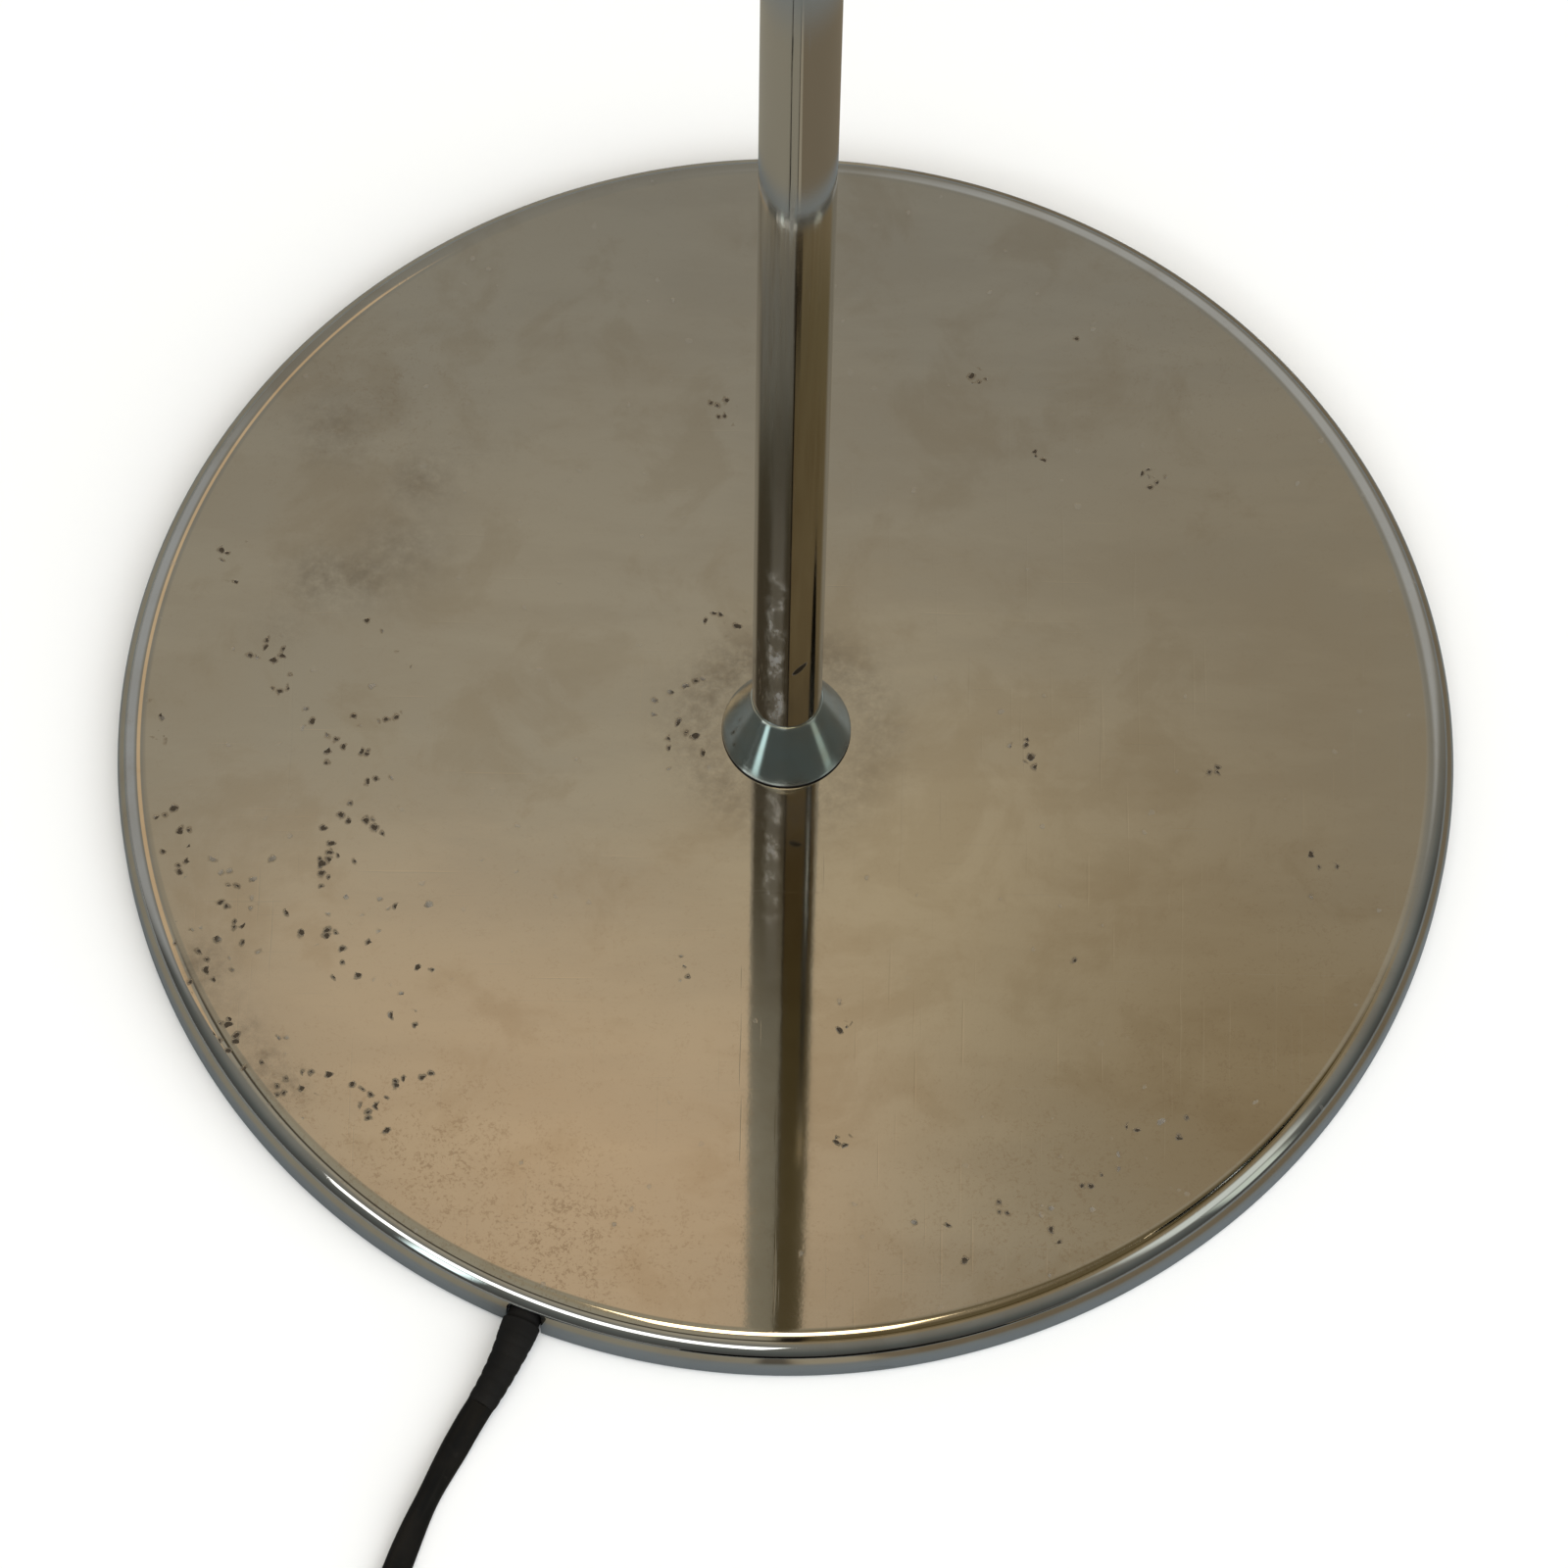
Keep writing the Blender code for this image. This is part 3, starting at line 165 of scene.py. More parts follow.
def moved(points, place, lie):
    # each point is turned by the matrix `lie` and then shifted to the place
    return points @ np.asarray(lie).T + np.asarray(place, float)


def softened(outline, bend, steps=4, closed=True):
    # Each corner becomes a parabola that starts and ends `bend` from it, or 0.4 of the shorter side away.
    corner = np.asarray(outline, float)
    before = np.roll(corner, 1, 0) - corner
    after = np.roll(corner, -1, 0) - corner
    t = np.linspace(0, 1, steps + 1)[None, :, None]

    def pulled(side):
        length = np.linalg.norm(side, axis=1, keepdims=True)
        return corner + side / length * np.minimum(bend, 0.4 * length)

    soft = (
        (1 - t) ** 2 * pulled(before)[:, None] + 2 * t * (1 - t) * corner[:, None]
        + t ** 2 * pulled(after)[:, None]
    )
    if closed:
        return soft.reshape(-1, 2)
    return np.vstack([corner[:1], soft[1:-1].reshape(-1, 2), corner[-1:]])


def arcOf(centre, bend, start, end, steps):
    # Points on a circle: the centre plus the radius times the cosine and the sine of evenly spaced angles.
    angle = np.radians(np.linspace(start, end, steps))
    return np.stack([centre[0] + bend * np.cos(angle), centre[1] + bend * np.sin(angle)], -1)


def turned(name, outline, place=(0, 0, 0), lie=upright, sides=96, ridges=0, depth=0):
    # The outline's points are a radius and a height; they go once round the piece's own Z.
    # Ridges are a cosine wave round the side, which fades towards the axis.
    outline = np.asarray(outline, float)
    angle = np.linspace(0, 2 * pi, sides, endpoint=False)
    radius = np.repeat(outline[:, :1], sides, 1)
    if ridges:
        fade = np.clip(radius / radius.max() * 4 - 3, 0, 1)
        radius = radius - depth * fade * (0.5 - 0.5 * np.cos(ridges * angle))
    height = np.repeat(outline[:, 1:], sides, 1)
    points = np.stack([radius * np.cos(angle), radius * np.sin(angle), height], -1)
    onAxis = outline[0, 0] == 0 and outline[-1, 0] == 0
    return gridPiece(name, moved(points, place, lie), rowsClosed=not onAxis, capped=False)


def swept(name, path, section, across=None, twist=0.0, rowsClosed=False, capped=True):
    # The section, sideways and upwards, is carried along the path square to it, and turned by the twist.
    along = np.gradient(path, axis=0)
    along /= np.linalg.norm(along, axis=1, keepdims=True)
    if across is None:
        across = np.cross(along, (0, 0, 1))
        across /= np.linalg.norm(across, axis=1, keepdims=True)
    across = np.broadcast_to(across, path.shape)
    up = np.cross(across, along)
    section = np.broadcast_to(section, (len(path), *np.shape(section)[-2:]))
    twist = np.broadcast_to(twist, len(path))[:, None]
    side = section[..., 0] * np.cos(twist) - section[..., 1] * np.sin(twist)
    rise = section[..., 0] * np.sin(twist) + section[..., 1] * np.cos(twist)
    points = path[:, None] + side[..., None] * across[:, None] + rise[..., None] * up[:, None]
    return gridPiece(name, points, rowsClosed, capped)


def evenly(line, spacing):
    # the same line with its points an equal distance apart
    reach = np.concatenate([[0], np.cumsum(np.linalg.norm(np.diff(line, axis=0), axis=1))])
    stops = np.linspace(0, reach[-1], round(reach[-1] / spacing) + 1)
    return np.stack([np.interp(stops, reach, line[:, k]) for k in range(3)], -1)


def smoothRoute(places, spacing):
    # A cubic curve through every place, whose direction there is that from the place before to the one after.
    knots = np.array(places, float)
    start, end = knots[:-1], knots[1:]
    before = np.vstack([knots[:1], knots[:-2]])
    after = np.vstack([knots[2:], knots[-1:]])
    t = np.linspace(0, 1, 24, endpoint=False)[:, None, None]
    handleOut = start + (end - before) / 6
    handleIn = end - (after - start) / 6
    curve = (
        (1 - t) ** 3 * start + 3 * t * (1 - t) ** 2 * handleOut
        + 3 * t ** 2 * (1 - t) * handleIn + t ** 3 * end
    )
    return evenly(np.vstack([curve.transpose(1, 0, 2).reshape(-1, 3), knots[-1:]]), spacing)


def settled(piece):
    # applies what modifiers have done, so that the mesh itself has the final shape
    bpy.context.view_layer.update()
    graph = bpy.context.evaluated_depsgraph_get()
    mesh = bpy.data.meshes.new_from_object(
        piece.evaluated_get(graph), preserve_all_data_layers=True, depsgraph=graph)
    piece.modifiers.clear()
    piece.data = mesh
    mesh.shade_smooth()
    mesh.set_sharp_from_angle(angle=radians(38))


def carved(piece, tool, operation="DIFFERENCE"):
    # cuts the tool out of the piece, or joins it on, and throws the tool away
    boolean = piece.modifiers.new("carve", "BOOLEAN")
    boolean.object = tool
    boolean.operation = operation
    boolean.solver = "EXACT"
    settled(piece)
    bpy.data.objects.remove(tool)
    return piece


def block(name, outline, low, high, place=(0, 0, 0), lie=upright, edge=0.3):
    # A flat outline carried from low to high, a little smaller at both ends so that its edges are broken.
    outline = np.asarray(outline, float)
    middle = outline.mean(0)
    reach = np.abs(outline - middle).max()
    sizes = np.array([1 - edge / reach, 1, 1, 1 - edge / reach])
    heights = np.array([low, low + edge, high - edge, high])
    flat = middle + (outline - middle) * sizes[:, None, None]
    points = np.concatenate([flat, np.broadcast_to(heights[:, None, None], (4, len(outline), 1))], -1)
    return gridPiece(name, moved(points, place, lie))


def roundedBox(length, width, corner, steps=8):
    # A rectangle's outline with quarter circles for corners, in order.
    middles = [(1, 1), (-1, 1), (-1, -1), (1, -1)]
    return np.vstack([
        arcOf((sx * (length / 2 - corner), sy * (width / 2 - corner)), corner, 90 * n, 90 * n + 90, steps)
        for n, (sx, sy) in enumerate(middles)
    ])


# The flat flex leaves the rim, runs to the foot switch and on to a stored coil, and ends in its plug.
flex = {
    "width": 6.3,
    "thickness": 3.8,
    "groove": 0.35,  # how deep the middle of its flat faces is
    "coilCentre": (-4, -279),
    "coilTurns": (40.3, 36.0, 31.7),  # radius of the outer, middle and inner turns
    "coilLayers": (3.2, 9.8),  # height of the flex's middle in the lower and the upper layer
    "turnCount": 5.578,
    "tieAngle": 205,  # degrees, from +X towards +Y
    "spacing": 1.2,  # between the rings of the run to the switch
    "turnedUp": ((62, 46, 15), (12, 72, 12)),  # degrees on its edge, how far along, over what length
}
routeToSwitch = (
    (-56.3, -144.4, 5.3), (-59.2, -152.2, 4.9), (-63.0, -160.4, 4.2), (-67.8, -169.0, 3.6),
    (-71.9, -177.0, 3.3), (-75.6, -185.0, 3.2), (-78.9, -193.0, 3.2), (-81.8, -201.0, 3.2),
    (-84.7, -210.0, 3.2), (-87.7, -222.0, 3.2), (-90.0, -240.0, 3.2), (-90.2, -260.0, 3.2),
    (-87.6, -280.0, 3.2), (-81.5, -299.0, 3.2), (-71.5, -316.5, 3.2), (-58.0, -331.5, 3.2),
    (-41.5, -343.5, 3.3), (-22.0, -351.8, 3.8), (-2.0, -356.0, 4.8), (17.0, -357.0, 6.0),
    (33.7, -357.0, 6.4), (38.0, -357.0, 6.4),
)
routeToCoil = (
    (114.0, -357.0, 6.4), (118.3, -357.0, 6.4), (132.0, -356.0, 5.6), (148.0, -351.5, 4.2),
    (162.0, -343.0, 3.4), (172.5, -330.5, 3.2), (178.5, -315.0, 3.2), (179.3, -298.0, 3.2),
    (174.6, -281.5, 3.2), (164.5, -267.5, 3.2), (150.0, -256.6, 3.2), (132.0, -248.8, 3.2),
    (112.0, -243.8, 3.2), (90.0, -240.9, 3.2), (66.0, -239.4, 3.2), (42.0, -238.8, 3.3),
    (19.5, -238.7, 3.4),
)
plugEnd = np.array([70, -287.5, 7.2])


def flexSection(columns=24):
    # An oval whose flat faces dip in the middle, where the two cores part.
    angle = np.linspace(0, 2 * pi, columns, endpoint=False)
    side = flex["width"] / 2 * np.sign(np.cos(angle)) * np.abs(np.cos(angle)) ** 0.85
    rise = flex["thickness"] / 2 * np.sign(np.sin(angle)) * np.abs(np.sin(angle)) ** 0.75
    rise -= np.sign(rise) * flex["groove"] * np.exp(-(side / 0.9) ** 2)
    return np.stack([side, rise], -1)


def smoothStep(value, low, high):
    # 0 up to low, 1 from high on, and 3 t squared less 2 t cubed between them
    t = np.clip((value - low) / (high - low), 0, 1)
    return t * t * (3 - 2 * t)


def laid(line, twist):
    # A flex that isn't on its edge lies lower, so its middle comes down by what it has lost in height.
    half = np.hypot(flex["width"] / 2 * np.sin(twist), flex["thickness"] / 2 * np.cos(twist))
    lowered = line.copy()
    lowered[:, 2] -= flex["width"] / 2 - half
    return lowered


def coilLine():
    # Circles that step inwards turn by turn in the lower layer, rise, and step outwards in the upper one.
    # Each step is taken in the last fifth of a turn, and where the flex rises it bows inwards to clear its
    # neighbour.
    turns = np.linspace(0, flex["turnCount"], 1400)
    outer, middle, inner = flex["coilTurns"]
    low, high = flex["coilLayers"]
    places = (outer, middle, inner, inner, middle, outer)
    radius = np.full(turns.shape, float(outer))
    for n in range(1, len(places)):
        radius += (places[n] - places[n - 1]) * smoothStep(turns, n - 0.2, n)
    radius -= 1.3 * np.sin(pi * np.clip((turns - 2.8) / 0.2, 0, 1))
    angle = radians(90) + 2 * pi * turns
    height = low + (high - low) * smoothStep(turns, 2.8, 3.0)
    fromTie = (np.degrees(angle) - flex["tieAngle"] + 180) % 360 - 180
    height += 0.6 * np.exp(-(fromTie / 14) ** 2)
    x, y = flex["coilCentre"]
    return np.stack([x + radius * np.cos(angle), y + radius * np.sin(angle), height], -1)


def flexMiddle():
    # the middle line of the flex from the switch to the plug, and how far it is turned on its edge
    run = smoothRoute(routeToCoil, 1.5)
    coil = evenly(coilLine(), 1.5)
    leave = coil[-1] - coil[-2]
    leave /= np.linalg.norm(leave)
    tail = smoothRoute([
        coil[-1],
        coil[-1] + leave * 12,
        coil[-1] + leave * 23 - (0, 0, 0.7),
        plugEnd - (13, 3.2, -0.8),
        plugEnd - (5, 0.4, 0),
        plugEnd + (4, 0, 0),
    ], 1.5)
    join = smoothRoute([run[-2], run[-1], coil[1], coil[2]], 1.5)
    line = evenly(np.vstack([run[:-2], join[:-1], coil[2:-1], tail]), 1.6)
    reach = np.arange(len(line)) * 1.6
    total = reach[-1]
    twist = radians(90) * (smoothStep(reach, 60, 190) - smoothStep(reach, total - 42, total - 6))
    onFloor = smoothStep(reach, 12, 60) * (1 - smoothStep(reach, total - 60, total - 42))
    settledLine = line + (laid(line, twist) - line) * onFloor[:, None]
    return settledLine, twist


def makeCords():
    # Each flex is its section carried along its route. The first one turns on its edge by bell curves of how
    # far along it is, and where it lies on the floor its middle sinks as it turns flat.
    toSwitch = smoothRoute(routeToSwitch, flex["spacing"])
    reach = np.arange(len(toSwitch)) * flex["spacing"]
    twist = sum(
        radians(most) * np.exp(-((reach - middle) / length) ** 2) for most, middle, length in flex["turnedUp"]
    )
    onFloor = smoothStep(reach, 24, 40) * (1 - smoothStep(reach, reach[-1] - 60, reach[-1] - 20))
    toSwitch = toSwitch + (laid(toSwitch, twist) - toSwitch) * onFloor[:, None]
    first = swept("flexToSwitch", toSwitch, flexSection(), twist=twist)
    line, turn = flexMiddle()
    second = swept("flexToPlug", line, flexSection(20), twist=turn)
    return (first, toSwitch), (second, line)


(flexToSwitch, lineToSwitch), (flexToPlug, lineToPlug) = makeCords()
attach(flexToSwitch, "stand")
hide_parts("mains_cord")
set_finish(flexToSwitch, "cord_black")
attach(flexToPlug, "stand")
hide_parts("mains_cord_after_switch", "cord_coil", "plug_tail")
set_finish(flexToPlug, "cord_black")


def lengthOf(line):
    # the sum of the distances from point to point, in metres
    return float(np.linalg.norm(np.diff(line, axis=0), axis=1).sum()) * mm


print(f"cords laid: {lengthOf(lineToSwitch):.3f} m to the switch, {lengthOf(lineToPlug):.3f} m to the plug")


relief = {
    # along the flex, half width, half height: flange, neck in the notch, then a long taper
    "sections": (
        (-9.0, 5.6, 3.4), (-7.0, 5.6, 3.4), (-6.8, 3.9, 3.3), (0.6, 3.9, 3.3), (1.0, 4.4, 3.8),
        (4.0, 4.3, 3.7), (10.0, 3.8, 3.3), (16.0, 3.5, 2.9), (22.0, 3.3, 2.4),
    ),
    "ribs": 0.12,  # how deep the shallow rings are
}


def makeRelief():
    # Ovals carried along the first stretch of the flex: their half width and half height run through the
    # listed sections, less the upper half of a sine wave for the rings.
    outwards = np.array(routeToSwitch[1]) - routeToSwitch[0]
    outwards[2] = 0
    outwards /= np.linalg.norm(outwards)
    sections = np.array(relief["sections"])
    inside = np.linspace(sections[0, 0], 0, 13)[:-1]
    reach = np.concatenate([inside, np.linspace(0, sections[-1, 0], 60)])
    fine = smoothRoute(routeToSwitch, 0.5)
    walked = np.arange(len(fine)) * 0.5
    path = np.stack([np.interp(np.maximum(reach, 0), walked, fine[:, k]) for k in range(3)], -1)
    path += outwards * np.minimum(reach, 0)[:, None]
    halfWidth = np.interp(reach, sections[:, 0], sections[:, 1])
    halfHeight = np.interp(reach, sections[:, 0], sections[:, 2])
    rib = relief["ribs"] * np.clip(np.sin(reach * 2.1), 0, 1) * (reach > 4)
    path[:, 2] = np.maximum(path[:, 2], halfHeight + 0.1)
    angle = np.linspace(0, 2 * pi, 40, endpoint=False)
    side = (halfWidth - rib)[:, None] * np.cos(angle)
    rise = (halfHeight - rib)[:, None] * np.sin(angle)
    return swept("reliefSleeve", path, np.stack([side, rise], -1))


reliefSleeve = makeRelief()
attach(reliefSleeve, "stand")
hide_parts("cord_strain_relief")
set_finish(reliefSleeve, "black_plastic")

tie = {"width": 5.0, "thickness": 0.45, "inner": 7.9, "height": 6.95, "lift": 6.9}


def makeTie():
    # A hook strap round the bundle: a rounded rectangle, carried once round, with a flat section.
    outline = softened(roundedBox(2 * tie["inner"] - 0.8, 2 * tie["height"] - 0.5, 3, 10), 0.2, 2)
    angle = radians(flex["tieAngle"])
    outwards = np.array([np.cos(angle), np.sin(angle), 0])
    along = np.array([-np.sin(angle), np.cos(angle), 0])
    x, y = flex["coilCentre"]
    middle = np.array([x, y, tie["lift"] + 0.3]) + outwards * flex["coilTurns"][1]
    direction = outline / np.linalg.norm(outline, axis=1, keepdims=True)
    rows = []
    for side, grow in (
        (-1, 0), (-1, 1), (-0.94, 1.25), (0.94, 1.25), (1, 1), (1, 0), (0.94, -0.2), (-0.94, -0.2),
    ):
        flat = outline + direction * tie["thickness"] * grow * 0.8
        ring = middle + flat[:, :1] * outwards + flat[:, 1:] * np.array([0, 0, 1])
        rows.append(ring + along * side * tie["width"] / 2)
    return gridPiece("coilTie", np.array(rows), rowsClosed=True, capped=False)


coilTie = makeTie()
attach(coilTie, "stand")
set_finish(coilTie, "black_plastic")

plug = {
    # along the plug, half width, half height
    "sections": (
        (0, 3.6, 3.4), (4, 3.8, 3.6), (15, 4.4, 4.2), (17, 7.0, 5.2), (22, 13.0, 6.4), (30, 16.4, 6.9),
        (44, 17.4, 6.9), (49, 17.6, 6.9), (50, 17.0, 6.3),
    ),
    "pinSide": 9.3,
    "pinRadius": 2.0,
    "pinFoot": 42.6,
    "pinTip": 69.0,
}


def makePlug():
    # Ovals carried straight along: their half sizes run through the listed sections, and the power of their
    # cosine and sine falls from 1 to 0.7 where the body squares up. Sine waves press in the rings.
    sections = np.array(plug["sections"])
    reach = np.linspace(0, sections[-1, 0], 90)
    bulk = smoothStep(reach, 14.5, 30)
    halfWidth = np.interp(reach, sections[:, 0], sections[:, 1])
    halfHeight = np.interp(reach, sections[:, 0], sections[:, 2])
    ribs = 0.35 * np.clip(np.sin(reach * 2.3), 0, 1) * (reach < 14)
    grip = 0.3 * np.clip(np.sin(reach * 2.6), 0, 1) * (reach > 30) * (reach < 44)
    angle = np.linspace(0, 2 * pi, 64, endpoint=False)
    power = 1 - 0.3 * bulk[:, None]
    side = (halfWidth - ribs - grip)[:, None] * np.sign(np.cos(angle)) * np.abs(np.cos(angle)) ** power
    rise = (halfHeight - ribs * 0.8)[:, None] * np.sign(np.sin(angle)) * np.abs(np.sin(angle)) ** power
    path = np.stack([reach, 0 * reach, 0 * reach], -1) + plugEnd
    body = swept("plugBody", path, np.stack([side, rise], -1))
    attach(body, "stand")
    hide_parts("plug_body")
    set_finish(body, "black_plastic")
    pins = []
    thick, foot, tip = plug["pinRadius"], plug["pinFoot"], plug["pinTip"]
    outline = [
        (0, foot), (thick, foot), (thick, tip - 2), (thick - 0.1, tip - 1), (thick - 0.5, tip - 0.3),
        (thick - 1.2, tip), (0, tip),
    ]
    for name, node, side in (("plugPinLeft", "plug_pin_left", 1), ("plugPinRight", "plug_pin_right", -1)):
        pin = turned(name, outline, plugEnd + (0, side * plug["pinSide"], 0), towardsRight, 32)
        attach(pin, "stand")
        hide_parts(node)
        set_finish(pin, "brass")
        pins.append(pin)
    return body, pins


plugBody, plugPins = makePlug()

switch = {"middle": (76, -357), "length": 84, "width": 34, "split": 10, "height": 21, "wall": 2, "corner": 13}


def housing(name, levels):
    # A rounded rectangle carried through levels of (height, how much smaller all round), outside then inside.
    rings = []
    for height, inset in levels:
        corner = max(switch["corner"] - inset, 1)
        ring = roundedBox(switch["length"] - 2 * inset, switch["width"] - 2 * inset, corner, 14)
        rings.append(np.column_stack([ring, np.full(len(ring), height)]))
    return gridPiece(name, np.array(rings) + (*switch["middle"], 0))


def makeSwitch():
    # Two shells that meet at the split, each a rounded rectangle carried through its levels. The slot for the
    # flex and the hole for the button are cut out of them.
    split, height, wall = switch["split"], switch["height"], switch["wall"]
    x, y = switch["middle"]
    base = housing("switchBase", [
        (0, 1.5), (0.15, 0.8), (0.6, 0.25), (1.2, 0), (split - 0.3, 0), (split, 0.3),
        (split, wall), (split - 1, wall), (wall, wall + 0.2), (wall, wall + 1.5),
    ])
    slot = block("slotTool", roundedBox(switch["length"] + 10, 7, 1), 2.9, 12, (x, y, 0))
    carved(base, slot)
    cover = housing("switchCover", [
        (height - wall, 5), (height - wall, 3.2), (height - wall - 1.5, wall), (split + 0.3, wall),
        (split + 0.8, 0.6), (split + 1.1, 0.25), (split + 1.6, 0), (height - 4.6, 0),
        (height - 2.6, 0.35), (height - 1.2, 1.15), (height - 0.4, 2.3), (height - 0.05, 3.8), (height, 5.5),
    ])
    hole = turned("holeTool", [(0, 5), (10.3, 5), (10.3, 40), (0, 40)], (x, y, 0))
    carved(cover, hole)
    button = turned("switchButton", softened([
        (0, 16.3), (12, 16.3), (12, 18.7), (10, 18.7), (10, 26.5), (7.4, 26.2), (4, 25.85), (0, 25.7),
    ], 0.6, 5, closed=False), (x, y, 0))
    return base, cover, button


switchBase, switchCover, switchButton = makeSwitch()
for piece, node, body in (
    (switchBase, "switch_base", "stand"),
    (switchCover, "switch_cover", "stand"),
    (switchButton, "switch_button", "button"),
):
    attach(piece, body)
    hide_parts(node)
    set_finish(piece, "black_plastic")

lineToSwitch * mm
lineToPlug[0] * mm
lineToPlug * mm
print("switch, plug and strain relief made")


disc = {
    "radius": 155, "height": 12.4, "edge": 6.8, "wall": 1.2, "lift": 0.6, "bore": 5.3,
    "notchWidth": 8.4, "notchTop": 9.2, "notchSide": 21.3,  # degrees from the front towards the left
    # clusters of pits on the top: x, y, how far they spread, how crowded they are
    "pits": (
        (-99, -29, 5.5, 0.8), (-103, -36, 6, 0.95), (-97, -9, 4, 0.75), (-95, -17, 4, 0.7),
        (-92, 2, 3, 0.6), (-141, -37, 5, 0.6), (-140, -28, 5, 0.55), (-132, -63, 5.5, 0.9),
        (-137, -57, 4, 0.7), (-124, -48, 9, 0.42), (-146, -7, 2.6, 1.7), (-144, 4, 3, 0.5),
        (-122, 20, 7, 0.4), (-115, 8, 4, 0.6), (-105, -2, 8, 0.38), (-125, -78, 4.5, 0.75),
        (-118, -85, 5, 0.7), (-113, -93, 4, 0.85), (-104, -91, 5.5, 0.85), (-98, -93, 4, 0.7),
        (-92, -98, 4.5, 0.75), (-86, -92, 3.5, 0.85), (-82, -89, 3, 0.9), (-106, -56, 6, 0.6),
        (-98, -61, 7, 0.4), (-81, -63, 2.4, 1.7), (-84, -74, 4, 0.6), (-86, -81, 4, 0.6),
        (-88, -51, 5, 0.45), (-16, 84, 3.0, 1.4), (-17, 27, 2.4, 1.4), (-12, 27, 2.0, 0.8),
        (-22, 7, 7, 0.4), (-26, -4, 7, 0.42), (57, -5, 2.6, 1.7), (-90, 16, 3.0, 1.4),
        (-97, 24, 2.6, 0.8), (-131, 43, 2.0, 1.7), (-131, 34, 1.8, 0.8), (66, -57, 2.2, 1.4),
        (70, -112, 2.6, 1.4), (54, -122, 9, 0.32), (38, -125, 8, 0.3), (86, -98, 12, 0.22),
        (66, 105, 1.8, 1.4), (43, 93, 1.8, 1.4), (58, 73, 2.0, 1.4), (85, 68, 2.2, 1.7),
        (99, -8, 1.8, 1.4), (15, -74, 2.0, 1.4), (15, -103, 1.8, 1.4), (-22, -61, 1.6, 1.4),
        (-57, -40, 3, 0.5), (122, -30, 8, 0.2),
    ),
    # soft dull patches: x, y, spread, strength
    "smudges": (
        (-109, 37, 8, 0.8), (-100, 38, 8, 0.75), (-92, 44, 12, 0.5), (-87, 63, 8, 0.6),
        (-108, 77, 10, 0.5), (-117, -86, 5, 1.0), (-112, -92, 5, 1.0), (-121, -78, 4, 0.7),
        (-132, -63, 7, 0.8), (-118, 24, 7, 0.3), (-128, -70, 7, 0.4), (-97, 83, 8, 0.25),
        (-75, 70, 8, 0.2),
    ),
    # where fine rust specks are thick: x, y, spread, strength
    "specks": (
        (-78, -112, 26, 0.85), (-50, -128, 26, 0.9), (-108, -96, 18, 0.5), (-20, -132, 22, 0.5),
        (60, -118, 34, 0.6), (98, -88, 30, 0.45), (120, -55, 26, 0.3), (25, -130, 20, 0.4),
        (-98, 86, 26, 0.35), (90, 100, 30, 0.2), (-40, -80, 60, 0.18),
    ),
    "dirtRing": 20,  # how far from the middle the dirt round the collar is thickest
}


def makeDisc():
    # The outline runs out over the flat top, down the rolled edge, and back under the top inside.
    radius, height, edge, wall = disc["radius"], disc["height"], disc["edge"], disc["wall"]
    flatEnd = radius - edge
    middle = height - edge
    across = np.append(np.linspace(disc["bore"], flatEnd - 1, 56), flatEnd - 0.25)
    top = np.column_stack([across, np.full(57, height)])
    outside = arcOf((flatEnd, middle), edge, 90, 0, 26)
    skirt = [(radius, 3.5), (radius, disc["lift"] + 0.3), (radius - 0.3, disc["lift"]),
             (radius - wall + 0.2, disc["lift"]), (radius - wall, disc["lift"] + 0.2)]
    inside = arcOf((flatEnd, middle), edge - wall, 0, 90, 14)
    under = np.column_stack([np.linspace(flatEnd - 4, disc["bore"], 8), np.full(8, height - wall)])
    cover = turned("discCover", np.vstack([top, outside, skirt, inside, under]), sides=320)
    side = radians(disc["notchSide"])
    outwards = np.array([-np.sin(side), -np.cos(side)])
    lie = np.array([(np.cos(side), np.sin(side), 0), (-np.sin(side), np.cos(side), 0), (0, 0, 1)])
    outline = roundedBox(disc["notchWidth"], 14, 1.0, 4)
    tool = block("notchTool", outline, -5, disc["notchTop"], (*(outwards * radius), 0), lie, edge=0.8)
    return carved(cover, tool)


def spots(x, y, places):
    # the strongest of many round bumps, each a bell curve of the distance from its place
    strength = np.zeros_like(x)
    for px, py, spread, height in places:
        strength = np.maximum(strength, height * np.exp(-((x - px) ** 2 + (y - py) ** 2) / spread ** 2))
    return strength


def paint(piece, name, values):
    # keeps one number for each point of the mesh, which a material reads by its name
    layer = piece.data.attributes.new(name, "FLOAT", "POINT")
    layer.data.foreach_set("value", np.asarray(values, np.float32))


def pointsOf(piece):
    # every point of a mesh as a row of x, y and z, in millimetres
    flat = np.zeros(len(piece.data.vertices) * 3, np.float32)
    piece.data.vertices.foreach_get("co", flat)
    return flat.reshape(-1, 3).astype(float) / mm


def paintDisc(cover):
    # Where the pits, the dirt and the specks lie: bell curves round the listed places, kept to the flat top.
    x, y, z = pointsOf(cover).T
    away = np.hypot(x, y)
    onTop = z > disc["height"] - 0.6
    paint(cover, "pits", spots(x, y, disc["pits"]) * onTop)
    # the ring is a bell curve of the distance from the middle, and a cosine makes it thicker at the rear left
    ring = np.exp(-((away - disc["dirtRing"]) / 8) ** 2)
    ring *= 0.78 + 0.22 * np.cos(np.arctan2(y, x) - radians(150))
    paint(cover, "dirt", np.maximum(spots(x, y, disc["smudges"]), 0.85 * ring) * onTop)
    paint(cover, "pepper", spots(x, y, disc["specks"]) * onTop)


discCover = makeDisc()
paintDisc(discCover)
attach(discCover, "stand")
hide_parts("base_cover")
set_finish(discCover, "chrome")

stem = {"radius": 8, "bore": 6.7, "collarRadius": 15, "collarHeight": 17.5, "collarLip": 8.4}


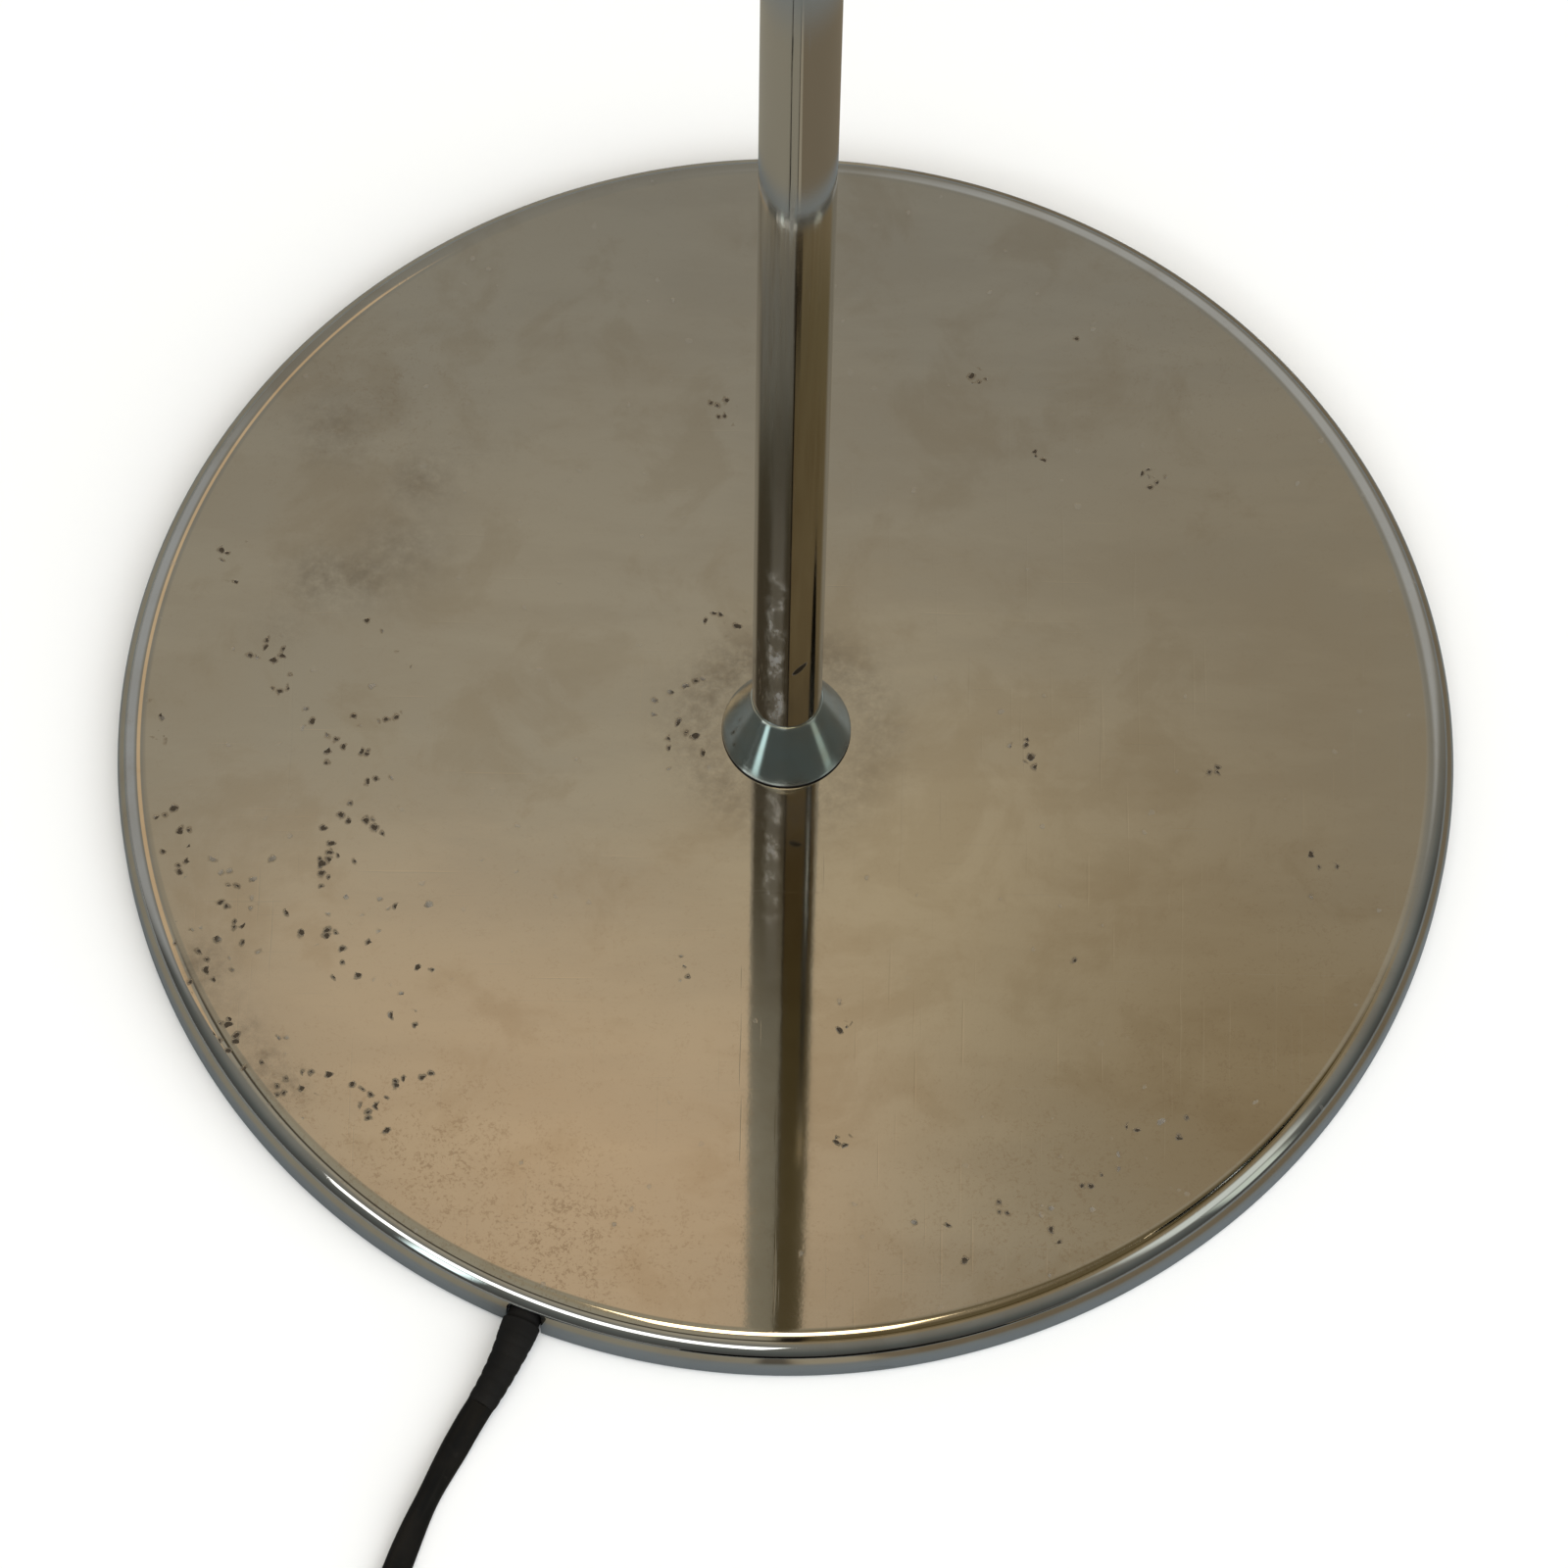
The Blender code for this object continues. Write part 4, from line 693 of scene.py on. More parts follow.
def makeStem():
    # Both are outlines of radius and height turned once round: up the outside and down the bore.
    low, high = boxOf("stem_tube")
    rim = 0.4
    tube = turned("stemTube", [
        (stem["radius"], low[2] + rim),
        *[(stem["radius"], z) for z in np.linspace(low[2] + 2, high[2] - 2, 60)],
        (stem["radius"], high[2] - rim), (stem["radius"] - rim, high[2]), (stem["bore"] + rim, high[2]),
        (stem["bore"], high[2] - rim), (stem["bore"], low[2] + rim), (stem["bore"] + rim, low[2]),
        (stem["radius"] - rim, low[2]),
    ], sides=72)
    foot = boxOf("stem_collar")[0][2]
    top = disc["height"] + stem["collarHeight"]
    slope = np.linspace(0, 1, 24)
    # the cone's straight side is eased out a little at its foot, and ends in a fine lip against the stem
    side = stem["collarRadius"] + (stem["collarLip"] - stem["collarRadius"]) * slope
    side -= 0.12 * np.exp(-slope * 9)
    height = foot + 0.5 + (top - foot - 1.0) * slope
    collar = turned("stemCollar", np.vstack([
        [(stem["collarRadius"] - 0.35, foot), (stem["collarRadius"] - 0.05, foot + 0.2)],
        np.column_stack([side, height]),
        [(stem["collarLip"] - 0.12, top - 0.1), (8.1, top), (8.04, top), (8.04, 24), (13.2, foot)],
    ]), sides=128)
    return tube, collar


stemTube, stemCollar = makeStem()
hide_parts("stem_tube")
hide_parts("stem_collar")
for piece in (stemTube, stemCollar):
    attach(piece, "stand")
    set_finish(piece, "chrome")

clamp = {
    "radius": 11, "bore": 8.3, "low": 702, "high": 742, "screwHeight": 731, "bossRadius": 6.5, "bossEnd": 15,
}


def makeClamp():
    # a turned sleeve with a boss and a hole for the screw on its front, and a bush that stands out at its top
    low, high, radius = clamp["low"], clamp["high"], clamp["radius"]
    sleeve = turned("stemClamp", softened([
        (radius - 1, low), (radius, low + 1), (radius, high - 1), (radius - 1, high), (clamp["bore"], high),
        (clamp["bore"], low),
    ], 0.4, 3), sides=96)
    place = (0, 0, clamp["screwHeight"])
    boss = turned("bossTool", [
        (0, 9.5), (clamp["bossRadius"], 9.5), (clamp["bossRadius"], clamp["bossEnd"] - 0.5),
        (clamp["bossRadius"] - 0.5, clamp["bossEnd"]), (0, clamp["bossEnd"]),
    ], place, towardsFront, 64)
    carved(sleeve, boss, "UNION")
    carved(sleeve, turned("screwTool", [(0, 4), (3.3, 4), (3.3, 20), (0, 20)], place, towardsFront, 32))
    bush = turned("clampBush", softened([
        (8, 720.6), (8, high + 0.3), (10.2, high + 0.3), (10.2, high + 1.6), (9.4, high + 2.4),
        (6.65, high + 2.4), (6.65, 720.6),
    ], 0.3, 3))
    return sleeve, bush


stemClamp, clampBush = makeClamp()
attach(stemClamp, "stand")
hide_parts("stem_clamp")
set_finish(stemClamp, "chrome")
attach(clampBush, "stand")
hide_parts("clamp_bush")
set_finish(clampBush, "black_plastic")

knob = {"ridges": 12, "depth": 0.9}


def makeKnob(name, node, body, radius, low, high, bore, place):
    # A ridged grip with soft shoulders, a shallow dish on its face and a socket for the screw.
    grip = turned(name, softened([
        (bore, low + 1), (bore, low), (radius * 0.9, low), (radius, low + 1.4), (radius, high - 1.4),
        (radius * 0.86, high), (radius * 0.55, high), (radius * 0.45, high - 0.5), (0.01, high - 0.5),
        (0.01, high - 3), (bore, high - 3),
    ], 0.7, 5), place, towardsFront, 144, knob["ridges"], knob["depth"])
    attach(grip, body)
    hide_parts(node)
    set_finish(grip, "black_plastic")


makeKnob("clampGrip", "clamp_knob", "clamp_knob", 11, 15.5, 28, 3.2, (0, 0, clamp["screwHeight"]))
print("base and stem made")


arc = {
    "swivel": 900, "tube": 6.35, "bore": 5.35, "start": 1160, "bend": 260, "sweep": 150,
    "reach": 16,  # from the tube's end to the tilt pivot
    "cheek": 7.4,  # radius of the round ends of the fork and the blade
    "pivotHole": 2.8,
}
sweepEnd = radians(arc["sweep"])
arcEnd = np.array([
    arc["bend"] - arc["bend"] * np.cos(sweepEnd), 0, arc["start"] + arc["bend"] * np.sin(sweepEnd),
])
arcAway = np.array([np.sin(sweepEnd), 0, np.cos(sweepEnd)])
tiltPivot = arcEnd + arc["reach"] * arcAway
# a piece's own Z points along the end of the arc
alongArc = np.array([(arcAway[2], 0, arcAway[0]), (0, 1, 0), (-arcAway[0], 0, arcAway[2])])


def makeSlide():
    # four turned pieces, each an outline of radius and height that closes on itself
    swivel, tube, bore = arc["swivel"], arc["tube"], arc["bore"]
    low, high = boxOf("slide_tube")
    slide = turned("slideTube", [
        (tube, low[2]), *[(tube, z) for z in np.linspace(low[2] + 2, high[2] - 2, 40)], (tube, high[2]),
        (bore, high[2]), (bore, low[2]),
    ], sides=64)
    socket = turned("swivelSocket", softened([
        (8, swivel - 20), (10, swivel - 17), (10, swivel - 8), (9.7, swivel - 7.8), (9.7, swivel - 7.2),
        (10, swivel - 7), (10, swivel - 0.5), (9.5, swivel), (5.3, swivel), (5.3, swivel - 6.5),
        (6.65, swivel - 6.5), (6.65, swivel - 20),
    ], 0.3, 3))
    washer = turned("swivelWasher", softened(
        [(9.2, swivel + 0.3), (9.2, swivel + 1.5), (5.3, swivel + 1.5), (5.3, swivel + 0.3)], 0.25, 3,
    ))
    bottom = swivel + 1.8
    collar = turned("arcCollar", softened([
        (9.5, bottom), (10, bottom + 0.5), (10, bottom + 15.2), (9.7, bottom + 16.2), (7.6, bottom + 22.2),
        (6.65, bottom + 22.2), (6.65, bottom + 6), (5.3, bottom + 6), (5.3, bottom),
    ], 0.35, 3))
    return slide, socket, washer, collar


def makeArcTube():
    # A straight run and then a bend of one radius; the outer wall goes up it and the inner wall comes back.
    bottom = boxOf("arc_tube")[0][2]
    straight = np.linspace(bottom, arc["start"], 14, endpoint=False)
    angle = np.linspace(0, sweepEnd, 150)
    path = np.vstack([
        np.column_stack([0 * straight, 0 * straight, straight]),
        np.column_stack([
            arc["bend"] * (1 - np.cos(angle)), 0 * angle, arc["start"] + arc["bend"] * np.sin(angle),
        ]),
    ])
    turn = np.concatenate([0 * straight, angle])
    out = np.column_stack([-np.cos(turn), 0 * turn, np.sin(turn)])
    rim = np.linspace(0, 2 * pi, 56, endpoint=False)
    walls = []
    for radius, order in ((arc["tube"], slice(None)), (arc["bore"], slice(None, None, -1))):
        across = np.cos(rim)[None, :, None] * np.array([0, 1, 0])
        across = across + np.sin(rim)[None, :, None] * out[order][:, None]
        walls.append(path[order][:, None] + radius * across)
    return gridPiece("arcTube", np.concatenate(walls), rowsClosed=True, capped=False)


def pivotTool():
    # a plain rod through the tilt pivot, which cuts the hole for it
    hole = arc["pivotHole"]
    return turned("pinTool", [(0, -20), (hole, -20), (hole, 20), (0, 20)], tiltPivot, towardsFront, 40)


def makeFork():
    # a turned collar along the arc's end, joined to two flat cheeks with round ends and bored for the pivot
    collar = turned("arcFork", softened([
        (7.0, -12), (7.6, -12), (8.6, -11), (8.6, 5), (7.6, 6), (2.5, 6), (2.5, 0.3), (7.0, 0.3),
    ], 0.5, 4), arcEnd, alongArc, 64)
    cheekFrame = alongArc @ np.array([(1, 0, 0), (0, 0, -1), (0, 1, 0)], float)
    cheek = arc["cheek"]
    outline = np.vstack([arcOf((0, arc["reach"]), cheek, 0, 180, 25), [(-cheek, 4), (cheek, 4)]])
    for low, high in ((-7.2, -4.2), (4.2, 7.2)):
        carved(collar, block("cheekTool", outline, low, high, arcEnd, cheekFrame, edge=0.25), "UNION")
    return carved(collar, pivotTool())


def makeTiltScrew():
    # a turned pin with a head, whose slot is cut by a thin block
    screw = turned("tiltScrew", softened([
        (0, -10.9), (4.4, -10.9), (5, -10.1), (5, -7.5), (2.5, -7.5), (2.5, 12.6), (0, 12.6),
    ], 0.3, 4, closed=False), tiltPivot, towardsFront, 64)
    slot = block("driverTool", roundedBox(14, 1.2, 0.1, 2), -12, -9.9, tiltPivot, towardsFront, edge=0.02)
    return carved(screw, slot)


slideTube, swivelSocket, swivelWasher, arcCollar = makeSlide()
arcTube = makeArcTube()
arcFork = makeFork()
tiltScrew = makeTiltScrew()
for piece, node, body, slot in (
    (slideTube, "slide_tube", "slider", "chrome"),
    (swivelSocket, "swivel_socket", "slider", "chrome"),
    (swivelWasher, "swivel_washer", "slider", "nylon"),
    (arcCollar, "arc_collar", "arc", "chrome"),
    (arcTube, "arc_tube", "arc", "chrome"),
    (arcFork, "arc_fork", "arc", "chrome"),
    (tiltScrew, "tilt_screw", "arc", "chrome"),
):
    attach(piece, body)
    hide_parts(node)
    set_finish(piece, slot)
makeKnob("tiltGrip", "tilt_knob", "tilt_knob", 9, 7.6, 16.6, 2.8, tiltPivot)
print("slide, swivel and arc made")


shade = {"radius": 125, "depth": 138, "wall": 1.0, "power": 2.3, "crown": -36.6, "bead": 1.1}


def domeOutline(radius, depth, top, steps):
    # A quarter of an oval of the given power, from the rim up to where the crown turns flat.
    angle = np.radians(np.linspace(0, 84, steps))
    power = 2 / shade["power"]
    return np.column_stack([radius * np.cos(angle) ** power, top - depth + depth * np.sin(angle) ** power])


def makeShade():
    # The dome outside, a bead of radius and angle round the rim, and the same dome inside a wall further in.
    radius, depth, wall, crown = shade["radius"], shade["depth"], shade["wall"], shade["crown"]
    outside = domeOutline(radius, depth, crown, 90)
    inside = domeOutline(radius - wall, depth - wall, crown - wall, 70)
    flatTop = outside[-1, 1]
    # the rim is rolled in to a small bead
    bead = arcOf((radius - shade["bead"], crown - depth + shade["bead"]), shade["bead"], 180, 360, 10)
    outside = outside[outside[:, 1] > crown - depth + shade["bead"]]
    inside = inside[inside[:, 1] > crown - depth + 1.6 * shade["bead"]]
    return turned("shadeShell", np.vstack([
        bead, outside,
        [(20, flatTop), (5.3, flatTop), (5.3, flatTop - wall), (20, flatTop - wall)], inside[::-1],
    ]), tiltPivot, sides=200)


def makeShadeFittings():
    # a turned cap, and a turned neck that is joined to a flat blade with a round end and bored for the pivot
    cap = turned("shadeCap", softened([
        (5.3, -27.3), (9.5, -27.3), (16, -29.5), (23, -34.8), (24, -36.3), (22.5, -36.3), (15.4, -31.0),
        (9.5, -28.8), (5.3, -28.8),
    ], 1.2, 6), tiltPivot, sides=128)
    neck = turned("shadeTongue", softened([
        (5.3, -27), (7.6, -27), (8.6, -26), (8.6, -18), (7.4, -15), (0, -15), (0, -19), (5.3, -19),
    ], 0.5, 4, closed=False)[:-1].tolist() + [(5.3, -19)], tiltPivot, sides=64)
    cheek = arc["cheek"]
    blade = np.vstack([arcOf((0, 0), cheek, 0, 180, 25), [(-cheek, -17), (cheek, -17)]])
    carved(neck, block("bladeTool", blade, -2.6, 2.6, tiltPivot, towardsFront, edge=0.25), "UNION")
    carved(neck, pivotTool())
    return cap, neck


lamp = {"ball": 27.0, "neck": 12.4, "meet": 48, "glass": 1}  # meet: degrees up the ball, where the neck ends


def makeLamp():
    # Three outlines turned once round: the cap, the ribbed skirt, and a bulb whose wall is 1 mm thick.
    top = boxOf("holder_cap")[1][2] - tiltPivot[2]
    holder = turned("holderCap", softened([
        (5.3, top), (8.5, top), (10, top - 3), (15, top - 6), (19, top - 12), (19, top - 22),
        (17.2, top - 22), (17.2, top - 12), (14, top - 7.6), (8, top - 4.6), (5.3, top - 4.6),
    ], 1.2, 5), tiltPivot, sides=96)
    skirtTop = top - 22.3
    skirt = turned("holderSkirt", softened([
        (18.1, skirtTop), (19.6, skirtTop - 1.5), (18.8, skirtTop - 30), (16.9, skirtTop - 30),
        (16.9, skirtTop),
    ], 0.6, 4), tiltPivot, sides=144, ridges=24, depth=0.35)
    glassLow, glassTop = [corner[2] - tiltPivot[2] for corner in boxOf("bulb_glass")]
    radius, neck, wall = lamp["ball"], lamp["neck"], lamp["glass"]
    ball = glassLow + radius
    # the neck flows into the ball: a cosine blend down to where the ball's own circle takes over
    meet = radians(lamp["meet"])
    neckSteps = np.linspace(0, 1, 26)
    neckHeight = glassTop + (ball + radius * np.sin(meet) - glassTop) * neckSteps
    neckRadius = neck + (radius * np.cos(meet) - neck) * (1 - np.cos(pi * neckSteps / 2)) ** 1.1
    roundPart = arcOf((0, ball), radius, np.degrees(meet) - 2, -90, 46)
    outside = np.vstack([np.column_stack([neckRadius, neckHeight]), roundPart])
    outside[-1, 0] = 0
    inside = np.column_stack([np.maximum(outside[:, 0] - wall, 0), outside[:, 1]])
    inside[-1, 1] += wall
    inside[:, 1] = np.maximum(inside[:, 1], glassLow + wall)
    bulb = turned("bulbGlass", np.vstack([inside[::-1], outside]), tiltPivot, sides=96)
    return holder, skirt, bulb


shadeShell = makeShade()
shadeCap, shadeTongue = makeShadeFittings()
holderCap, holderSkirt, bulbGlass = makeLamp()
for piece, node, slot in (
    (shadeShell, "shade", "chrome"),
    (shadeCap, "shade_cap", "chrome"),
    (shadeTongue, "shade_tongue", "chrome"),
    (holderCap, "holder_cap", "black_plastic"),
    (holderSkirt, "holder_skirt", "black_plastic"),
    (bulbGlass, "bulb_glass", "opal_glass"),
):
    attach(piece, "shade")
    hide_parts(node)
    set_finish(piece, slot)
print("shade and lamp made")


class Wire:
    # a node's output, which can stand in a sum such as 1 - mask * 0.5
    def __init__(self, board, socket):
        self.board = board
        self.socket = socket

    def maths(self, operation, *values):
        # one Math node, with the values or wires on its sockets in order
        return self.board.node("ShaderNodeMath", {"operation": operation}, dict(enumerate(values)))

    def __add__(self, other):
        return self.maths("ADD", self, other)

    def __sub__(self, other):
        return self.maths("SUBTRACT", self, other)

    def __rsub__(self, other):
        return self.maths("SUBTRACT", other, self)

    def __mul__(self, other):
        return self.maths("MULTIPLY", self, other)

    def __truediv__(self, other):
        return self.maths("DIVIDE", self, other)

    __radd__ = __add__
    __rmul__ = __mul__

    def most(self, other):
        # the larger of the two
        return self.maths("MAXIMUM", self, other)

    def size(self):
        # without its sign
        return self.maths("ABSOLUTE", self)

    def step(self, low, high):
        # 0 up to low, 1 from high on, smooth between; low may be the larger, and then it falls
        return self.board.node(
            "ShaderNodeMapRange", {"interpolation_type": "SMOOTHSTEP"},
            {"Value": self, "From Min": low, "From Max": high},
        )


class Board:
    # the nodes of one material or world
    def __init__(self, tree):
        self.tree = tree

    def node(self, kind, settings={}, values={}, output=0):
        # any node: its settings are put in first, and then the values or wires of its sockets
        made = self.tree.nodes.new(kind)
        for name, value in settings.items():
            if name == "stops":
                ramp = made.color_ramp
                while len(ramp.elements) < len(value):
                    ramp.elements.new(0.5)
                for element, (position, colour) in zip(ramp.elements, value):
                    element.position = position
                    element.color = colour
            else:
                setattr(made, name, value)
        for socket, value in values.items():
            if isinstance(value, Wire):
                self.tree.links.new(value.socket, made.inputs[socket])
            else:
                made.inputs[socket].default_value = value
        return Wire(self, made.outputs[output])

    def place(self):
        # where a point is in the piece, in metres
        return self.node("ShaderNodeTexCoord", output="Object")

    def axis(self, vector, number):
        # 0, 1 or 2 for a vector's x, y or z
        return self.node("ShaderNodeSeparateXYZ", {}, {0: vector}, number)

    def oval(self, across, along):
        # 0 in the middle of an oval whose half sizes the two offsets have been divided by, 1 on its edge
        offset = self.node("ShaderNodeCombineXYZ", {}, {0: across, 1: along})
        return self.node("ShaderNodeVectorMath", {"operation": "LENGTH"}, {0: offset}, "Value")

    def spread(self, vector, scale=(1, 1, 1), turn=(0, 0, 0)):
        # each axis by its own scale, then turned
        return self.node("ShaderNodeMapping", {}, {"Vector": vector, "Scale": scale, "Rotation": turn})

    def noise(self, vector, scale, detail=3.0, rough=0.5, warp=0.0):
        # cloudy noise from 0 to 1, with `scale` clouds to the metre
        values = {"Vector": vector, "Scale": scale, "Detail": detail, "Roughness": rough, "Distortion": warp}
        return self.node("ShaderNodeTexNoise", {}, values)

    def noiseColour(self, vector, scale, detail):
        # the same noise as a direction, from -0.5 to 0.5 each way
        values = {"Vector": vector, "Scale": scale, "Detail": detail}
        made = self.node("ShaderNodeTexNoise", {}, values, "Color")
        return self.node("ShaderNodeVectorMath", {"operation": "SUBTRACT"}, {0: made, 1: (0.5, 0.5, 0.5)})

    def cells(self, vector, scale, flat=True):
        # how far to the nearest of many scattered points, and two random numbers for the cell round it
        settings = {"voronoi_dimensions": "2D" if flat else "3D"}
        values = {"Vector": vector, "Scale": scale}
        away = self.node("ShaderNodeTexVoronoi", settings, values, "Distance")
        own = self.node("ShaderNodeTexVoronoi", settings, values, "Color")
        return away, self.axis(own, 0), self.axis(own, 1)

    def painted(self, name):
        # a number that paint() has kept on the mesh
        return self.node("ShaderNodeAttribute", {"attribute_name": name}, {}, "Fac")

    def blend(self, factor, first, second):
        # the first colour at 0 and the second at 1
        return self.node("ShaderNodeMix", {"data_type": "RGBA"}, {0: factor, 6: first, 7: second}, 2)

    def relief(self, height, distance, strength=1.0):
        # a bumped normal, for a height that runs from 0 to 1 and a distance in metres
        return self.node("ShaderNodeBump", {}, {"Height": height, "Distance": distance, "Strength": strength})


def tone(red, green, blue):
    # a colour in linear light, fully opaque
    return (red, green, blue, 1.0)


def finishOf(name, fixed, build):
    # a Principled material: `fixed` holds the values that are the same all over, and `build` gives the rest
    material = bpy.data.materials.new(name)
    material.use_nodes = True
    shader = material.node_tree.nodes["Principled BSDF"]
    for socket, value in fixed.items():
        shader.inputs[socket].default_value = value
    for socket, value in build(Board(material.node_tree)).items():
        material.node_tree.links.new(value.socket, shader.inputs[socket])
    return material


chrome = {
    "plate": tone(0.62, 0.60, 0.55),
    "film": tone(0.60, 0.52, 0.41),  # old lacquer and grease on the top
    "wiped": tone(0.69, 0.665, 0.60),
    "dull": tone(0.50, 0.45, 0.37),
    "rust": tone(0.040, 0.029, 0.018),
    "dirt": tone(0.19, 0.155, 0.12),
    # the rolled side, darker and cooler than the top: painted shade, as if it mirrored a dim floor
    "side": tone(0.56, 0.57, 0.57),
    "roughness": 0.075,
}


def discChrome(board):
    # Thin old plate with cloudy film, wiped streaks, dirt, rust specks, clustered pits and fine scratches.
    place = board.place()
    cloud = board.noise(place, 14, 4, 0.6)
    patches = board.noise(place, 38, 5, 0.62, 0.4)
    fine = board.noise(place, 900, 3, 0.6)
    broken = board.noise(place, 330, 5, 0.7)
    # each pit is a ragged spot round one of many scattered points, and the clusters choose which of them show
    sway = {0: board.noiseColour(place, 420, 4), "Scale": 2.2 * mm}
    sway = board.node("ShaderNodeVectorMath", {"operation": "SCALE"}, sway)
    bent = board.node("ShaderNodeVectorMath", {"operation": "ADD"}, {0: place, 1: sway})
    away, own, size = board.cells(bent, 520)
    chosen = (own + board.painted("pits") * 0.42).step(0.99, 1.03)
    pit = chosen * (away + broken * 0.5 - size * 0.26).step(0.42, 0.34)
    halo = chosen * (away + broken * 0.4 - size * 0.2).step(0.75, 0.35)
    pepper = board.painted("pepper")
    speck = board.noise(place, 1250, 4, 0.7, 0.5) * 0.8 + board.noise(place, 260, 3, 0.6) * 0.35
    speck = (speck + pepper * 0.06).step(0.62, 0.74)
    grime = board.painted("dirt")
    dirt = grime * (broken * 1.3 + patches * 0.9).step(0.65, 1.45)
    lines = board.noise(board.spread(place, (900, 22, 900), (0, 0, 0.5)), 1, 2, 0.5).step(0.66, 0.74)
    cross = board.noise(board.spread(place, (26, 1100, 900), (0, 0, -0.35)), 1, 2, 0.5).step(0.68, 0.76)
    scratch = lines * 0.6 + cross * 0.5
    height = board.axis(place, 2)
    onSide = height.step(8 * mm, 4 * mm)
    sideStain = board.noise(board.spread(place, (60, 60, 160)), 1, 5, 0.65).step(0.56, 0.74) * onSide
    drift = board.noise(board.spread(place, (12, 44, 12), (0, 0, 0.75)), 1, 5, 0.62)
    film = cloud.step(0.30, 0.72) * 0.3 + patches.step(0.4, 0.8) * 0.25
    colour = board.blend(film, chrome["plate"], chrome["film"])
    colour = board.blend(drift.step(0.42, 0.62) * 0.5, colour, chrome["wiped"])
    colour = board.blend(patches.step(0.50, 0.64) * 0.3, colour, chrome["dull"])
    # painted shade: the vertical side is toned darker and cooler than the top
    colour = board.blend(onSide * 0.8, colour, chrome["side"])
    colour = board.blend(dirt * 0.7, colour, chrome["dirt"])
    colour = board.blend(sideStain * 0.45, colour, chrome["dirt"])
    colour = board.blend(speck * (pepper * 0.40 + 0.05), colour, tone(0.33, 0.22, 0.13))
    colour = board.blend(halo * 0.5, colour, tone(0.19, 0.14, 0.09))
    colour = board.blend(pit, colour, chrome["rust"])
    rough = 0.02 + patches * 0.03 + scratch * 0.015 + dirt * 0.06 + speck * pepper * 0.08
    rough = rough + halo * 0.25 + pit * 0.3
    metal = 1 - pit * 0.9 - dirt * 0.04
    rise = fine * 0.004 + cloud * 0.1 - scratch * 0.01 - pit * 0.10 - dirt * 0.02
    bump = board.relief(rise, 0.4 * mm, 0.6)
    return {"Base Color": colour, "Roughness": rough, "Metallic": metal, "Normal": bump}


def plainChrome(board):
    # cloudy plate with fine lines along it, and a few rust pits that are the centres of scattered cells
    place = board.place()
    patches = board.noise(place, 46, 5, 0.6)
    fine = board.noise(place, 1400, 2, 0.6)
    lines = board.noise(board.spread(place, (420, 420, 26)), 1, 3, 0.55).step(0.62, 0.74)
    away, own, size = board.cells(place, 210, False)
    pit = own.step(0.955, 0.97) * (away - size * 0.06).step(0.14, 0.06)
    colour = board.blend(patches.step(0.35, 0.75) * 0.5, chrome["plate"], tone(0.57, 0.53, 0.45))
    colour = board.blend(pit, colour, chrome["rust"])
    rough = chrome["roughness"] + patches * 0.05 + lines * 0.06 + pit * 0.5
    bump = board.relief(fine * 0.004 - lines * 0.003 - pit * 0.3, 0.3 * mm, 0.5)
    return {"Base Color": colour, "Roughness": rough, "Metallic": 1 - pit * 0.8, "Normal": bump}


def stemChrome(board):
    # cloudy plate, grubby towards its foot
    place = board.place()
    patches = board.noise(board.spread(place, (60, 60, 16)), 1, 5, 0.6)
    fine = board.noise(place, 1400, 2, 0.6)
    lines = board.noise(board.spread(place, (500, 500, 14)), 1, 3, 0.55).step(0.60, 0.74)
    x, y, height = [board.axis(place, n) for n in range(3)]
    # pale scuffs low on the front, a little to the left, and a short dark nick to the right
    low = height.step(112 * mm, 92 * mm) * height.step(26 * mm, 40 * mm)
    front = (x + 2.8 * mm).size().step(3.0 * mm, 0.6 * mm) * y.step(0, -1 * mm)
    scuff = board.noise(board.spread(place, (300, 300, 120), (0, 0.5, 0)), 1, 5, 0.65)
    scuff = scuff.step(0.44, 0.72) * low * front
    # a pale blue stripe down the front, a little left of the middle: a painted reflection, which also hazes
    # the roughness
    hazeAndPaintedStreak = (x + 2.6 * mm).size().step(2.2 * mm, 0.8 * mm) * height.step(200 * mm, 90 * mm)
    hazeAndPaintedStreak = hazeAndPaintedStreak * y.step(0, -1 * mm)
    across = x - 2.7 * mm
    nick = board.oval(across / (1.6 * mm), (height - 59.3 * mm - across * 1.12) / (1.5 * mm)).step(1.05, 0.95)
    nick = nick * y.step(0, -1 * mm)
    grubby = height.step(180 * mm, 60 * mm) * (patches * 0.9 + 0.25)
    colour = board.blend(grubby.step(0.2, 1.1) * 0.5, chrome["plate"], tone(0.44, 0.38, 0.30))
    colour = board.blend(hazeAndPaintedStreak * 0.3, colour, tone(0.62, 0.64, 0.72))
    colour = board.blend(scuff * 0.55, colour, tone(0.62, 0.63, 0.68))
    colour = board.blend(nick, colour, tone(0.004, 0.004, 0.004))
    rough = 0.025 + patches * 0.04 + lines * 0.04 + scuff * 0.3 + hazeAndPaintedStreak * 0.1 + grubby * 0.05
    bump = board.relief(fine * 0.01 - lines * 0.03 + scuff * 0.04, 0.3 * mm, 0.5)
    metallic = 1 - nick * 0.95 - scuff * 0.3
    return {"Base Color": colour, "Roughness": rough, "Metallic": metallic, "Normal": bump}


